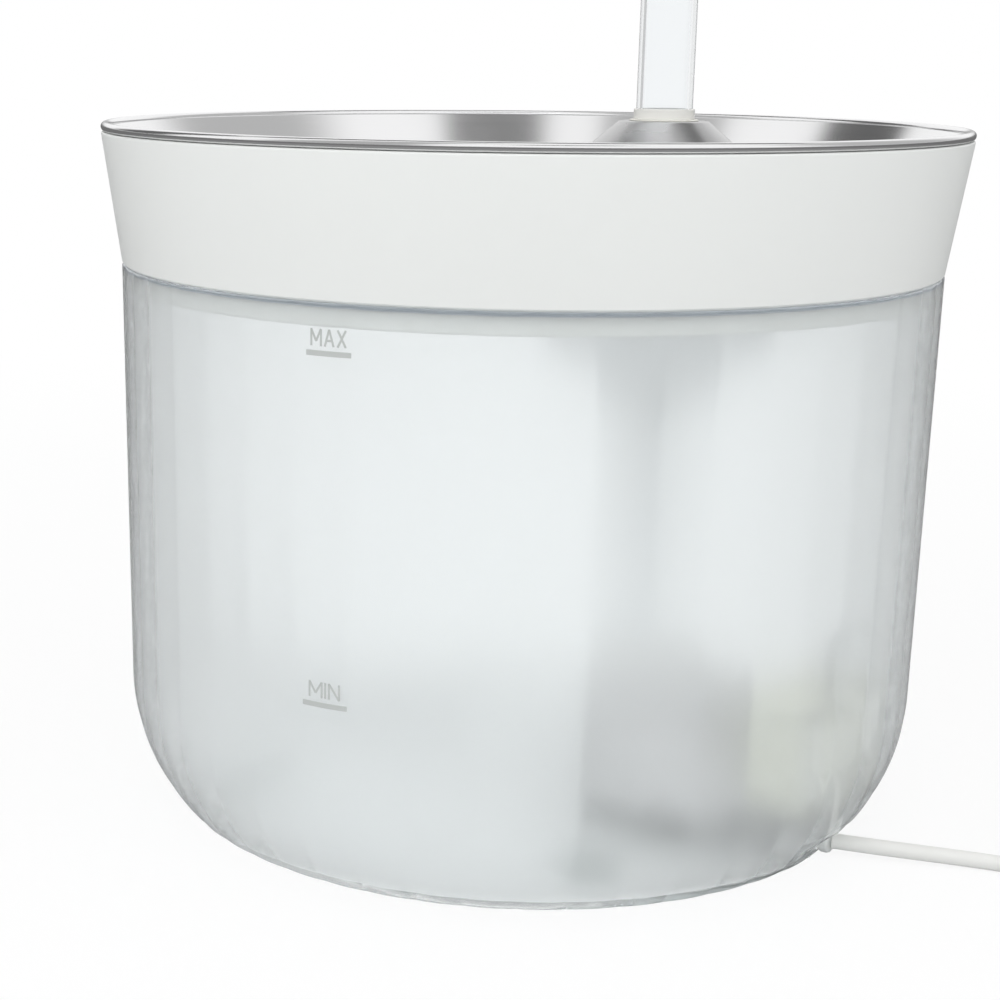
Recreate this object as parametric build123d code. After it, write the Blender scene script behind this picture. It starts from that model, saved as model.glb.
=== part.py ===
from build123d import *
import os
from math import acos, atan, cos, pi, radians, sin, tan

# Pet water fountain: a frosted tank with a dry drive well in its floor, a submerged pump, a flared
# ring, a steel bowl and a clear spout. Millimetres, +Z up. The origin is on the tank's axis at the
# surface that the rubber feet stand on. +Y is the rear, where the cord leaves and the spout stands.

# Tank
FOOT_DROP = 1.0            # the feet stand this far below the tank's underside
LIP_R = 92.0
TANK_H = 124.2             # from the underside to the lip
WALL_DRAFT = 0.006         # loss of radius per millimetre downwards
WALL = 2.4
FLOOR = 2.6
CORNER_R = 43.8            # the big round between wall and floor
CORNER_H = 28.7            # height of that round above the underside
BASE_ROUND = 1.6
FOOT_RING_R = 62.0
FOOT_R = 6.9
FOOT_SINK = 1.0
FOOT_ROUND = 0.5

# Dry well in the tank's floor, centred on the rotor's axis, with its cover and screws
ROTOR_Y = 46.0
WELL_R = 18.6
WELL_TOP = 19.0
PAD_R = 26.6               # thick floor round the well's mouth
COVER_R = 24.0
COVER_T = 1.6
GASKET_T = 0.6
POST_RING_R = 16.6
POST_R = 2.2
SCREW_R = 1.1
SCREW_TOP = 11.0
HEAD_R = 2.1
HEAD_H = 0.8
DRIVER_SLOT_HALF = 0.25    # half the width of the slot in a screw's head
GAP = 0.1                  # clearance round pieces that are screwed or pressed in

# Dry drive in the well
CASE_R = 13.4
CASE_Z0, CASE_Z1 = 5.0, 16.2
CASE_WALL = 1.0
BOARD_Z0, BOARD_Z1 = 5.2, 6.4
CHIP_TOP = 7.2
YOKE_Z0, YOKE_Z1 = 7.4, 9.0
POLE_RING_R = 7.8
POLE_R = 1.5
POLE_TOP = 14.8
WINDING_R = 3.6
WINDING_Z0, WINDING_Z1 = 9.1, 14.2

# Cord
CORD_R = 1.75
CORD_Z = 3.0               # height of the cord's centre where it leaves the tank
NOTCH_Y = 80.0
NOTCH_HALF = 16.0
NOTCH_TOP = 6.5
NOTCH_DEPTH = 12.0
GLAND_R = 2.9
GLAND_OUT = 2.2
STEM_R, STEM_L = 2.3, 2.4  # the gland's part inside the wall
LEAD_START_Y = 61.0
GROOVE_HALF, GROOVE_TOP = 2.0, 5.0
RIB_HALF, RIB_TOP = 6.0, 7.6
TURNS_X, TURNS_Y = -37.0, 143.0
TURNS_MEAN_R = 18.5
TURNS_ACROSS, TURNS_HIGH = 3, 4
PLUG_L, PLUG_W, PLUG_H = 30.0, 15.4, 7.8
RELIEF_L = 9.0
RELIEF_R0, RELIEF_R1 = 2.3, 3.2
SHELL_L, SHELL_W, SHELL_H, SHELL_T = 18.7, 12.0, 4.5, 0.3
SHELL_SINK = 4.0
TONGUE_L, TONGUE_W, TONGUE_T = 18.0, 11.2, 1.9

# Ring and bowl
RIM_R = 96.1
RIM_Z = 154.0
RING_WALL = 1.3
SKIRT_Z = 120.3
SKIRT_OUT_R = 89.2
SKIRT_IN_R = 87.4
SHELF_H = 2.2              # the ring's step above the tank's lip
BEAD_R = 1.0
SHEET = 0.8
BOWL_FLOOR_Z = 128.0       # upper face of the bowl's floor
BOWL_CORNER_R = 14.0
BOWL_SLOPE = 63.4          # the bowl's wall, degrees above horizontal

# Dome and spout, on the line x = 0
SPOUT_Y = 33.0
TUBE_R = 6.0
TUBE_BORE_R = 4.8
RUN_FIT = 0.07             # radial clearance of parts that turn or slide on each other
DOME_TOP_Z = 157.4
DOME_HOLE_R = 7.0
DOME_FOOT_R = 33.6
DOME_LINE = ((27.6, BOWL_FLOOR_Z), (16.0, 152.0), (9.6, DOME_TOP_Z))   # radius, height
DOME_ROUNDS = (4.5, 9.0, 1.2)
DRAIN_RING_R, DRAIN_R = 21.0, 2.0
GROMMET_R, GROMMET_LIP_R = 8.4, 7.4
GROMMET_DROP, GROMMET_LIP = 2.2, 0.3
SOCKET_R = 6.5
SOCKET_H = 2.2
SPOUT_FOOT_Z = 106.0
SPOUT_TURN_Z = 206.0
SPOUT_BEND_R = 17.0
SPOUT_TIP_L = 8.0

# Funnel and pipe below the bowl
NECK_R = 7.6
NECK_Z = 95.2
NECK_TOP_Z = 124.0
NECK_STOP_R = 6.5
SEAL_H = 1.8
FUNNEL_RIM_R = 36.0
FUNNEL_WALL = 1.6
FUNNEL_ANGLE = 42.0        # the cone, degrees above horizontal
FUNNEL_RISE = 1.3          # the cone starts this far above the neck's foot
RETURN_RING_R, RETURN_R = 12.5, 2.2
PIPE_BORE_R = 4.6
PIPE_TOP_Z = 103.0

# Pump
CHAMBER_R = 13.2
CHAMBER_WALL = 1.6
CHAMBER_TOP = 28.8
LID_T = 1.6
PLATE_R, PLATE_T = 17.0, 1.35
OUTLET_H, OUTLET_R = 2.6, 6.9
PORT_R, PORT_SHIFT = 2.2, 3.7           # the chamber's outlet hole, and how far behind the pipe it lies
SPIGOT_H, SPIGOT_BORE_R = 8.0, 3.2
INTAKE_R = 5.5
ARM_HALF = 0.7
LOW_BUSH_R, HIGH_BUSH_R = 2.4, 1.6
BUSH_SEAT = 0.4            # floor left under the lower bush
PIN_SEAT = 0.9             # the pin's lower end, above the plate's underside
PIN_R = 1.0
PIN_CAP = 0.2
ROTOR_GAP = 0.55
MAGNET_R, MAGNET_H = 9.6, 3.5
HUB_R = 3.0
BLADES, BLADE_R, BLADE_HALF = 6, 9.6, 0.5
DISC_R, DISC_T = 9.8, 0.8
COVER_WALL = 1.6
HOOD_SECTIONS = ((10.0, 46.0, 26.5), (19.0, 45.5, 24.6), (30.0, 42.4, 19.5), (37.0, 37.6, 12.5),
                 (42.0, SPOUT_Y, 8.6))   # height, centre along Y and radius of the pump's hood
HOOD_FOOT, HOOD_TOP = HOOD_SECTIONS[0][0], HOOD_SECTIONS[-1][0]
HOOD_GAP_HALF, HOOD_GAP_H = 1.4, 3.0
HOOD_SLOT_HALF = 1.3
HOOD_SLOT_Z0, HOOD_SLOT_Z1 = 15.5, 25.0
WINDOW_HALF = 9.0
LEG_RING_R, LEG_R = 25.1, 1.2
HOLDER_HALF = 17.0
HOLDER_Y0, HOLDER_Y1 = 66.0, 81.5
HOLDER_Z0, HOLDER_Z1 = 12.0, 37.0
HOLDER_WALL = 1.4
HOLDER_ROUND = 3.0
HOLDER_SILL = 4.0          # solid edge below and above the holder's slots
REAR_SLOTS, REAR_PITCH, REAR_SLOT_HALF = 5, 5.6, 1.6
SIDE_SLOTS, SIDE_PITCH, SIDE_SLOT_HALF = 2, 5.0, 1.4
HOLDER_LEG_X, HOLDER_LEG_Y, HOLDER_LEG_R = 14.0, 76.0, 1.6
GRIP_HALF, GRIP_TOP, GRIP_ROUND = 11.0, 52.0, 4.0   # the holder's finger grip
SPONGE_GAP = 0.3
SPONGE_PROUD = 1.2

BASE_Z = FOOT_DROP
LIP_Z = BASE_Z + TANK_H
FLOOR_Z = BASE_Z + FLOOR
GASKET_Z = BASE_Z + COVER_T
RECESS_TOP = GASKET_Z + GASKET_T
HEAD_TOP = BASE_Z + GAP + HEAD_H
PLATE_TOP = WELL_TOP + PLATE_T
LID_TOP = CHAMBER_TOP + LID_T
PIPE_FOOT_Z = LID_TOP + OUTLET_H
EXIT_Y = NOTCH_Y + GLAND_OUT
BEAD_Z = RIM_Z + 0.05 + BEAD_R          # the bead's centre, a hair above the ring
FAR = 40.0                              # longer than any cut that it is used for


def disc(r, z0, z1, x=0.0, y=0.0):
    """Upright cylinder of radius r from z0 to z1."""
    return Pos(x, y, (z0 + z1) / 2) * Cylinder(r, z1 - z0)


def tube(r_out, r_in, z0, z1, x=0.0, y=0.0):
    """Upright pipe."""
    return disc(r_out, z0, z1, x, y) - disc(r_in, z0 - 1, z1 + 1, x, y)


def block(x0, x1, y0, y1, z0, z1):
    """Box between two corners."""
    return Pos((x0 + x1) / 2, (y0 + y1) / 2, (z0 + z1) / 2) * Box(x1 - x0, y1 - y0, z1 - z0)


def lying(r, y0, y1):
    """Cylinder along +Y at x = 0 and the cord's height."""
    return Pos(0, (y0 + y1) / 2, CORD_Z) * Rot(90, 0, 0) * Cylinder(r, y1 - y0)


def turned(outline, y=0.0):
    """Solid of revolution of a closed outline of (radius, height), about an upright axis at y."""
    face = Plane.XZ * make_face(outline)
    return Pos(0, y, 0) * revolve(face, Axis.Z, 360)


def turned_points(points, y=0.0):
    """The same, from the corners of a straight-sided outline."""
    return turned(Polyline(*points, close=True), y)


def ring_of(count, radius, y=0.0, first=0.0):
    """Places on a circle, as (x, y, angle in degrees)."""
    for k in range(count):
        a = first + 360.0 * k / count
        yield radius * cos(radians(a)), y + radius * sin(radians(a)), a


def turned_block(angle, *corners):
    """A block turned by an angle about the rotor's axis, from which its y is counted."""
    return Pos(0, ROTOR_Y, 0) * Rot(0, 0, angle) * block(*corners)


def one_part(solids):
    """Several separate solids of one node."""
    return Compound(children=list(solids))


def vessel(inset, floor_z, top_z, round_r=0.0):
    """The tank's round form, drawn in by inset: a drafted wall, the big corner arc and a floor."""
    lean = pi / 2 - atan(WALL_DRAFT)
    corner_z = BASE_Z + CORNER_H
    wall_r = LIP_R - WALL_DRAFT * (LIP_Z - corner_z)
    cx, cz = wall_r - CORNER_R * sin(lean), corner_z + CORNER_R * cos(lean)
    r = CORNER_R - inset
    low = acos((cz - floor_z) / r)
    spot = [(cx + r * sin(t), cz - r * cos(t)) for t in (low, (low + lean) / 2, lean)]
    top = (spot[2][0] + WALL_DRAFT * (top_z - spot[2][1]), top_z)
    outline = [Line((0, floor_z), spot[0]), ThreePointArc(*spot), Line(spot[2], top),
               Line(top, (0, top_z)), Line((0, top_z), (0, floor_z))]
    solid = turned(outline)
    if round_r:
        solid = fillet(solid.edges().filter_by(GeomType.CIRCLE).sort_by(Axis.Z)[:1], round_r)
    return solid


def make_tank():
    """Tank with the dry well, the lead's rib and groove, the cord's notch and the feet's seats."""
    outer = vessel(0, BASE_Z, LIP_Z, BASE_ROUND)
    inside = vessel(WALL, FLOOR_Z, LIP_Z + 5)
    notch_end = NOTCH_Y + NOTCH_DEPTH
    side = NOTCH_HALF + WALL
    islands = [disc(PAD_R, BASE_Z, RECESS_TOP + FLOOR, y=ROTOR_Y),
               disc(WELL_R + WALL, BASE_Z, WELL_TOP, y=ROTOR_Y),
               block(-RIB_HALF, RIB_HALF, ROTOR_Y, NOTCH_Y, BASE_Z, RIB_TOP),
               block(-side, side, NOTCH_Y - WALL, notch_end, BASE_Z, NOTCH_TOP + WALL)]
    for island in islands:
        inside -= island
    tank = outer - inside
    tank -= disc(COVER_R + 2 * GAP, 0, RECESS_TOP, y=ROTOR_Y)
    well = disc(WELL_R, 0, WELL_TOP - WALL, y=ROTOR_Y)
    for x, y, _ in ring_of(4, POST_RING_R, ROTOR_Y, 45):
        well -= tube(POST_R, SCREW_R + GAP, GASKET_Z + GAP, WELL_TOP, x, y)
    tank -= well
    tank -= block(-GROOVE_HALF, GROOVE_HALF, ROTOR_Y + 10, NOTCH_Y + 1, 0, GROOVE_TOP)
    tank -= block(-NOTCH_HALF, NOTCH_HALF, NOTCH_Y, notch_end, 0, NOTCH_TOP)
    tank -= lying(STEM_R + GAP, NOTCH_Y - STEM_L, NOTCH_Y)
    for x, y, _ in ring_of(4, FOOT_RING_R, 0, 45):
        tank -= disc(FOOT_R + GAP, 0, BASE_Z + FOOT_SINK, x, y)
    return tank


def make_base_cover():
    cover = disc(COVER_R, BASE_Z, GASKET_Z, y=ROTOR_Y)
    for x, y, _ in ring_of(4, POST_RING_R, ROTOR_Y, 45):
        cover -= disc(SCREW_R + GAP, 0, 5, x, y) + disc(HEAD_R + 2 * GAP, 0, HEAD_TOP, x, y)
    return cover - block(-GROOVE_HALF, GROOVE_HALF, LEAD_START_Y - 0.5, ROTOR_Y + FAR, 0, GROOVE_TOP)


def make_cover_gasket():
    gasket = tube(COVER_R - 4 * GAP, WELL_R + 8 * GAP, GASKET_Z, RECESS_TOP, y=ROTOR_Y)
    return gasket - block(-GROOVE_HALF, GROOVE_HALF, ROTOR_Y, ROTOR_Y + FAR, 0, GROOVE_TOP)


def make_cover_screws():
    screws = []
    half = DRIVER_SLOT_HALF
    for x, y, _ in ring_of(4, POST_RING_R, ROTOR_Y, 45):
        screw = disc(SCREW_R, HEAD_TOP - GAP, SCREW_TOP, x, y)
        screw += disc(HEAD_R, BASE_Z + GAP, HEAD_TOP, x, y)
        screws.append(screw - block(x - 1.4, x + 1.4, y - half, y + half, 0, BASE_Z + 0.5))
    return one_part(screws)


def make_feet():
    feet = []
    for x, y, _ in ring_of(4, FOOT_RING_R, 0, 45):
        foot = disc(FOOT_R, 0, BASE_Z + FOOT_SINK, x, y)
        feet.append(fillet(foot.edges().sort_by(Axis.Z)[:1], FOOT_ROUND))
    return one_part(feet)


def make_driver_case():
    case = disc(CASE_R, CASE_Z0, CASE_Z1, y=ROTOR_Y)
    case = fillet(case.edges().sort_by(Axis.Z)[-1:], CASE_WALL)
    return case - disc(CASE_R - CASE_WALL, CASE_Z0 - 1, CASE_Z1 - CASE_WALL, y=ROTOR_Y)


def make_circuit_board():
    """Round board with three small components on it."""
    board = disc(CASE_R - CASE_WALL - 2 * GAP, BOARD_Z0, BOARD_Z1, y=ROTOR_Y)
    for x, y, _ in ring_of(3, 8.5, ROTOR_Y, 30):
        board += block(x - 1.6, x + 1.6, y - 1.1, y + 1.1, BOARD_Z1 - GAP, CHIP_TOP)
    return board


def make_stator_core():
    """Flat yoke with a ring of upright poles."""
    core = disc(CASE_R - CASE_WALL - 6 * GAP, YOKE_Z0, YOKE_Z1, y=ROTOR_Y)
    for x, y, _ in ring_of(6, POLE_RING_R, ROTOR_Y):
        core += disc(POLE_R, YOKE_Z1 - 0.5, POLE_TOP, x, y)
    return core - disc(2.0, 0, FAR, y=ROTOR_Y)


def make_drive_coils():
    spots = ring_of(6, POLE_RING_R, ROTOR_Y)
    return one_part(tube(WINDING_R, POLE_R + GAP, WINDING_Z0, WINDING_Z1, x, y) for x, y, _ in spots)


def make_pump_base():
    """Round plate with the chamber's wall on it and a pocket for the lower bush."""
    body = disc(PLATE_R, WELL_TOP, PLATE_TOP, y=ROTOR_Y)
    body += tube(CHAMBER_R, CHAMBER_R - CHAMBER_WALL, WELL_TOP, CHAMBER_TOP, y=ROTOR_Y)
    return body - disc(LOW_BUSH_R, WELL_TOP + BUSH_SEAT, CHAMBER_TOP, y=ROTOR_Y)


def make_chamber_lid():
    """Lid with the intake's three-armed bush holder and the outlet spigot."""
    lid = disc(CHAMBER_R, CHAMBER_TOP, LID_TOP, y=ROTOR_Y)
    lid += disc(OUTLET_R, CHAMBER_TOP, PIPE_FOOT_Z, y=SPOUT_Y)
    lid += disc(PIPE_BORE_R - 0.05, CHAMBER_TOP, PIPE_FOOT_Z + SPIGOT_H, y=SPOUT_Y)
    intake = disc(INTAKE_R, CHAMBER_TOP - 1, LID_TOP + 1, y=ROTOR_Y)
    for _, _, a in ring_of(3, INTAKE_R, ROTOR_Y, 30):
        intake -= turned_block(a, 0, INTAKE_R + 1, -ARM_HALF, ARM_HALF, 0, FAR)
    intake -= disc(HIGH_BUSH_R + 1.1, 0, FAR, y=ROTOR_Y)
    lid -= intake + disc(HIGH_BUSH_R, CHAMBER_TOP - 1, LID_TOP + 1, y=ROTOR_Y)
    lid -= disc(SPIGOT_BORE_R, CHAMBER_TOP + 1, PIPE_FOOT_Z + SPIGOT_H + 1, y=SPOUT_Y)
    return lid - disc(PORT_R, CHAMBER_TOP - 1, PIPE_FOOT_Z - 1.2, y=SPOUT_Y + PORT_SHIFT)


def make_impeller():
    """Hub through the magnet, a disc on top of it and upright blades."""
    z0, top = PLATE_TOP + ROTOR_GAP, CHAMBER_TOP - 0.8
    disc_z = z0 + MAGNET_H
    hub = disc(HUB_R, z0, top, y=ROTOR_Y) + disc(DISC_R, disc_z, disc_z + DISC_T, y=ROTOR_Y)
    for _, _, a in ring_of(BLADES, BLADE_R):
        hub += turned_block(a, HUB_R - 0.4, BLADE_R, -BLADE_HALF, BLADE_HALF, disc_z + 0.4, top)
    return hub - disc(PIN_R + RUN_FIT, 0, FAR, y=ROTOR_Y)


def make_rotor_magnet():
    z0 = PLATE_TOP + ROTOR_GAP
    return tube(MAGNET_R, HUB_R, z0, z0 + MAGNET_H, y=ROTOR_Y)


def make_rotor_shaft():
    return disc(PIN_R, WELL_TOP + PIN_SEAT, LID_TOP - PIN_CAP, y=ROTOR_Y)


def make_shaft_bushes():
    low = disc(LOW_BUSH_R, WELL_TOP + BUSH_SEAT, PLATE_TOP + 0.3, y=ROTOR_Y)
    low -= disc(PIN_R, WELL_TOP + PIN_SEAT, FAR, y=ROTOR_Y)
    high = disc(HIGH_BUSH_R, CHAMBER_TOP + GAP, LID_TOP, y=ROTOR_Y)
    high -= disc(PIN_R, 0, LID_TOP - PIN_CAP, y=ROTOR_Y)
    return one_part([low, high])


def hood_form(inset, low, high):
    """The hood's leaning bell between two heights, drawn in by inset."""
    faces = []
    for k, (z, y, r) in enumerate(HOOD_SECTIONS):
        height = low if k == 0 else high if k == len(HOOD_SECTIONS) - 1 else z
        faces.append(Pos(0, y, height) * Circle(r - inset))
    return loft(faces)


def make_pump_cover():
    """Hood with foot gaps, side slots, a rear window to the filter and three legs."""
    hood = hood_form(0, HOOD_FOOT, HOOD_TOP) - hood_form(COVER_WALL, HOOD_FOOT - 0.5, HOOD_TOP - 0.8)
    hood -= disc(TUBE_R + 2 * GAP, HOOD_TOP - 8, HOOD_TOP + 1, y=SPOUT_Y)
    half, low, high = HOOD_GAP_HALF, HOOD_FOOT - 1, HOOD_FOOT + HOOD_GAP_H
    for _, _, a in ring_of(12, LEG_RING_R, 0, 15):
        hood -= turned_block(a, 10, FAR, -half, half, low, high)
    half = HOOD_SLOT_HALF
    for a in range(-150, -29, 24):
        hood -= turned_block(a, 8, FAR, -half, half, HOOD_SLOT_Z0, HOOD_SLOT_Z1)
    for x, y, _ in ring_of(3, LEG_RING_R, ROTOR_Y, 30):
        hood += disc(LEG_R, RECESS_TOP + FLOOR, HOOD_FOOT + 2, x, y)
    return hood - block(-WINDOW_HALF, WINDOW_HALF, ROTOR_Y + 10, ROTOR_Y + FAR, 15.0, HOOD_SLOT_Z1)


def make_filter_holder():
    """Open-topped tray behind the hood, with slots behind and at both sides, a grip and two legs."""
    w, t = HOLDER_HALF, HOLDER_WALL
    grip = block(-GRIP_HALF, GRIP_HALF, HOLDER_Y1 - t, HOLDER_Y1, HOLDER_Z1 - 2, GRIP_TOP)
    grip = fillet(grip.edges().filter_by(Axis.Y).sort_by(Axis.Z)[-2:], GRIP_ROUND)
    low, high = HOLDER_Z0 + HOLDER_SILL, HOLDER_Z1 - HOLDER_SILL
    holder = block(-w, w, HOLDER_Y0, HOLDER_Y1, HOLDER_Z0, HOLDER_Z1)
    holder = fillet(holder.edges().filter_by(Axis.Z).sort_by(Axis.Y)[-2:], HOLDER_ROUND)
    holder -= block(-w + t, w - t, HOLDER_Y0 - 1, HOLDER_Y1 - t, HOLDER_Z0 + t, HOLDER_Z1 + 1)
    for k in range(REAR_SLOTS):
        x = (k - (REAR_SLOTS - 1) / 2) * REAR_PITCH
        holder -= block(x - REAR_SLOT_HALF, x + REAR_SLOT_HALF, HOLDER_Y1 - 3, HOLDER_Y1 + 1, low, high)
    for k in range(SIDE_SLOTS):
        y = HOLDER_Y1 - 5.2 - SIDE_PITCH * k
        holder -= block(-w - 1, w + 1, y - SIDE_SLOT_HALF, y + SIDE_SLOT_HALF, low, high)
    for side in (-1, 1):
        holder += disc(HOLDER_LEG_R, FLOOR_Z, HOLDER_Z0 + t, side * HOLDER_LEG_X, HOLDER_LEG_Y)
    return holder + grip - hood_form(-0.15, HOOD_FOOT, HOOD_TOP)


def make_filter_sponge():
    """Block of foam that fills the holder, hollowed to the hood's round."""
    half = HOLDER_HALF - HOLDER_WALL - SPONGE_GAP
    rear, foot = HOLDER_Y1 - HOLDER_WALL - SPONGE_GAP, HOLDER_Z0 + HOLDER_WALL
    sponge = block(-half, half, HOLDER_Y0, rear, foot, HOLDER_Z1 + SPONGE_PROUD)
    return sponge - hood_form(-0.5, HOOD_FOOT, HOOD_TOP)


def make_riser_pipe():
    return tube(TUBE_R, PIPE_BORE_R, PIPE_FOOT_Z, PIPE_TOP_Z, y=SPOUT_Y)


def make_riser_seal():
    return tube(NECK_R, TUBE_R + RUN_FIT, NECK_Z - SEAL_H, NECK_Z, y=SPOUT_Y)


def make_spout_adapter():
    """Funnel under the bowl, with the neck that joins the pipe to the spout."""
    rise = tan(radians(FUNNEL_ANGLE))
    foot_r = NECK_R - 0.6
    foot_z = NECK_Z + FUNNEL_RISE - 0.6 * rise
    rim_z = foot_z + (FUNNEL_RIM_R - foot_r) * rise
    wall_drop = FUNNEL_WALL / cos(radians(FUNNEL_ANGLE))
    under = BOWL_FLOOR_Z - SHEET
    inner_r = FUNNEL_RIM_R - FUNNEL_WALL
    cone = turned_points([(foot_r, foot_z), (FUNNEL_RIM_R, rim_z), (FUNNEL_RIM_R, under), (inner_r, under),
                          (inner_r, rim_z - FUNNEL_WALL * rise + wall_drop), (foot_r, foot_z + wall_drop)],
                         SPOUT_Y)
    for x, y, _ in ring_of(6, RETURN_RING_R, SPOUT_Y, 30):
        cone -= disc(RETURN_R, NECK_Z, NECK_Z + 16, x, y)
    neck = tube(NECK_R, TUBE_R + RUN_FIT, NECK_Z, NECK_TOP_Z, y=SPOUT_Y)
    neck += tube(NECK_STOP_R, PIPE_BORE_R, PIPE_TOP_Z + 2 * GAP, SPOUT_FOOT_Z - 2 * GAP, y=SPOUT_Y)
    return neck + cone


def bowl_wall(inset):
    """Corners and arc of one face of the bowl's sheet, axis to rim; inset is below the upper face."""
    slope = radians(BOWL_SLOPE)
    r = BOWL_CORNER_R + inset
    cz = BOWL_FLOOR_Z + BOWL_CORNER_R
    out = (BEAD_Z - cz + BOWL_CORNER_R * cos(slope)) / tan(slope)
    cx = RIM_R - 1.9 * BEAD_R - out - BOWL_CORNER_R * sin(slope)
    low = (cx, cz - r)
    mid = (cx + r * sin(slope / 2), cz - r * cos(slope / 2))
    high = (cx + r * sin(slope), cz - r * cos(slope))
    tip = (high[0] + (BEAD_Z - high[1]) / tan(slope), BEAD_Z)
    return low, mid, high, tip


def make_bowl():
    """Steel bowl: sheet floor and wall, rolled rim, and the hollow dome that carries the spout."""
    (l0, m0, h0, t0), (l1, m1, h1, t1) = bowl_wall(0), bowl_wall(SHEET)
    bottom = BOWL_FLOOR_Z - SHEET
    outline = [Line((0, BOWL_FLOOR_Z), l0), ThreePointArc(l0, m0, h0), Line(h0, t0), Line(t0, t1),
               Line(t1, h1), ThreePointArc(h1, m1, l1), Line(l1, (0, bottom)),
               Line((0, bottom), (0, BOWL_FLOOR_Z))]
    bowl = turned(outline)
    bead = Pos(0, 0, BEAD_Z) * Torus(RIM_R - BEAD_R, BEAD_R)
    bowl = bowl - disc(DOME_FOOT_R - 0.3, bottom - 1, BOWL_FLOOR_Z + 1, y=SPOUT_Y) + bead
    path = FilletPolyline((DOME_FOOT_R, BOWL_FLOOR_Z), *DOME_LINE, (DOME_HOLE_R, DOME_TOP_Z),
                          radius=DOME_ROUNDS)
    sheet = make_face(path.wire().offset_2d(SHEET, side=Side.LEFT))
    dome = Pos(0, SPOUT_Y, 0) * revolve(Plane.XZ * sheet, Axis.Z, 360)
    for x, y, _ in ring_of(8, DRAIN_RING_R, SPOUT_Y, 22.5):
        dome -= disc(DRAIN_R, BOWL_FLOOR_Z, DOME_TOP_Z, x, y)
    return bowl + dome


def make_grommet():
    """Rubber ring in the dome's hole, with a flange below the sheet and a thin lip above it."""
    top, bore = DOME_TOP_Z, TUBE_R + RUN_FIT
    under, foot, lip = top - SHEET, top - GROMMET_DROP, top + GROMMET_LIP
    return turned_points([(bore, foot), (GROMMET_R, foot), (GROMMET_R, under), (DOME_HOLE_R, under),
                          (DOME_HOLE_R, top), (GROMMET_LIP_R, top), (GROMMET_LIP_R, lip), (bore, lip)],
                         SPOUT_Y)


def make_spout_socket():
    z0 = DOME_TOP_Z + GROMMET_LIP + 0.05
    ring = tube(SOCKET_R, TUBE_R + RUN_FIT, z0, z0 + SOCKET_H, y=SPOUT_Y)
    return fillet(ring.edges().sort_by(Axis.Z)[-2:-1], 0.3)


def make_spout_tube():
    """Clear tube: up, over in a half turn towards the bowl's centre, and down to its mouth."""
    start, turn = (0, SPOUT_Y, SPOUT_FOOT_Z), (0, SPOUT_Y, SPOUT_TURN_Z)
    crown = (0, SPOUT_Y - SPOUT_BEND_R, SPOUT_TURN_Z + SPOUT_BEND_R)
    down = (0, SPOUT_Y - 2 * SPOUT_BEND_R, SPOUT_TURN_Z)
    path = Wire([Line(start, turn), ThreePointArc(turn, crown, down),
                 Line(down, (0, down[1], SPOUT_TURN_Z - SPOUT_TIP_L))])
    section = Pos(0, SPOUT_Y, SPOUT_FOOT_Z) * (Circle(TUBE_R) - Circle(TUBE_BORE_R))
    return sweep(section, path)


def make_collar_ring():
    """Flared ring that sits on the tank's lip, with a skirt down inside the tank."""
    slope = (RIM_R - LIP_R) / (RIM_Z - LIP_Z - 0.5)
    shelf_z = LIP_Z + SHELF_H
    inner_top = RIM_R - RING_WALL
    inner_low = inner_top - slope * (RIM_Z - shelf_z)
    return turned_points([(LIP_R - 0.7, LIP_Z), (LIP_R, LIP_Z + 0.5), (RIM_R, RIM_Z), (inner_top, RIM_Z),
                          (inner_low, shelf_z), (SKIRT_IN_R, shelf_z), (SKIRT_IN_R, SKIRT_Z),
                          (SKIRT_OUT_R, SKIRT_Z), (SKIRT_OUT_R, LIP_Z)])


def make_gland():
    """Small round bush where the cord leaves: a flange outside the notch and a stem in its wall."""
    flange = fillet(lying(GLAND_R, NOTCH_Y, EXIT_Y).edges().sort_by(Axis.Y)[-1:], 0.8)
    return flange + lying(STEM_R, NOTCH_Y - STEM_L, NOTCH_Y)


def make_inner_lead():
    return lying(CORD_R, LEAD_START_Y, NOTCH_Y - STEM_L)


# The cord's route from the gland to the coil, and the tail's from the coil's top turn to the plug
CORD_ROUTE = ((0.0, EXIT_Y, CORD_Z), (-2.4, 91.0, 2.9), (-7.4, 102.5, 2.3), (-12.2, 115.0, 1.75),
              (-14.8, 127.5, 1.75), (-15.0, 138.5, 1.75))
TAIL_R = TURNS_MEAN_R + CORD_R * (TURNS_ACROSS + 1) + 0.4
TAIL_STEPS = ((8.0, 2.6, 12.25), (38.0, 0.6, 10.4), (68.0, 0.0, 6.2), (98.0, 0.0, 2.8),
              (126.0, 0.0, 2.4))   # angle round the coil, distance inside TAIL_R, height
TAIL_RUN_OUT = 12.0


def bend_radii(points):
    """Arc radius at each corner: 0.45 of the shorter run over the tangent of half the turn."""
    spots = [Vector(*p) for p in points]
    runs = [b - a for a, b in zip(spots, spots[1:])]
    pairs = zip(runs, runs[1:])
    return [0.45 * min(a.length, b.length) / tan(radians(a.get_angle(b)) / 2) for a, b in pairs]


def cord_along(name, points):
    """Round cord of straight runs joined by tangent arcs; prints its radii, length and volume."""
    radii = bend_radii(points)
    wire = FilletPolyline(*points, radius=radii).wire()
    start = Plane(origin=wire @ 0, z_dir=wire % 0)
    cord = sweep(start * Circle(CORD_R), wire)
    expected = pi * CORD_R ** 2 * wire.length
    print(name, "radii", [round(r, 1) for r in radii], "length", round(wire.length, 1),
          "volume", round(cord.volume, 1), "of", round(expected, 1))
    return cord


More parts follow.
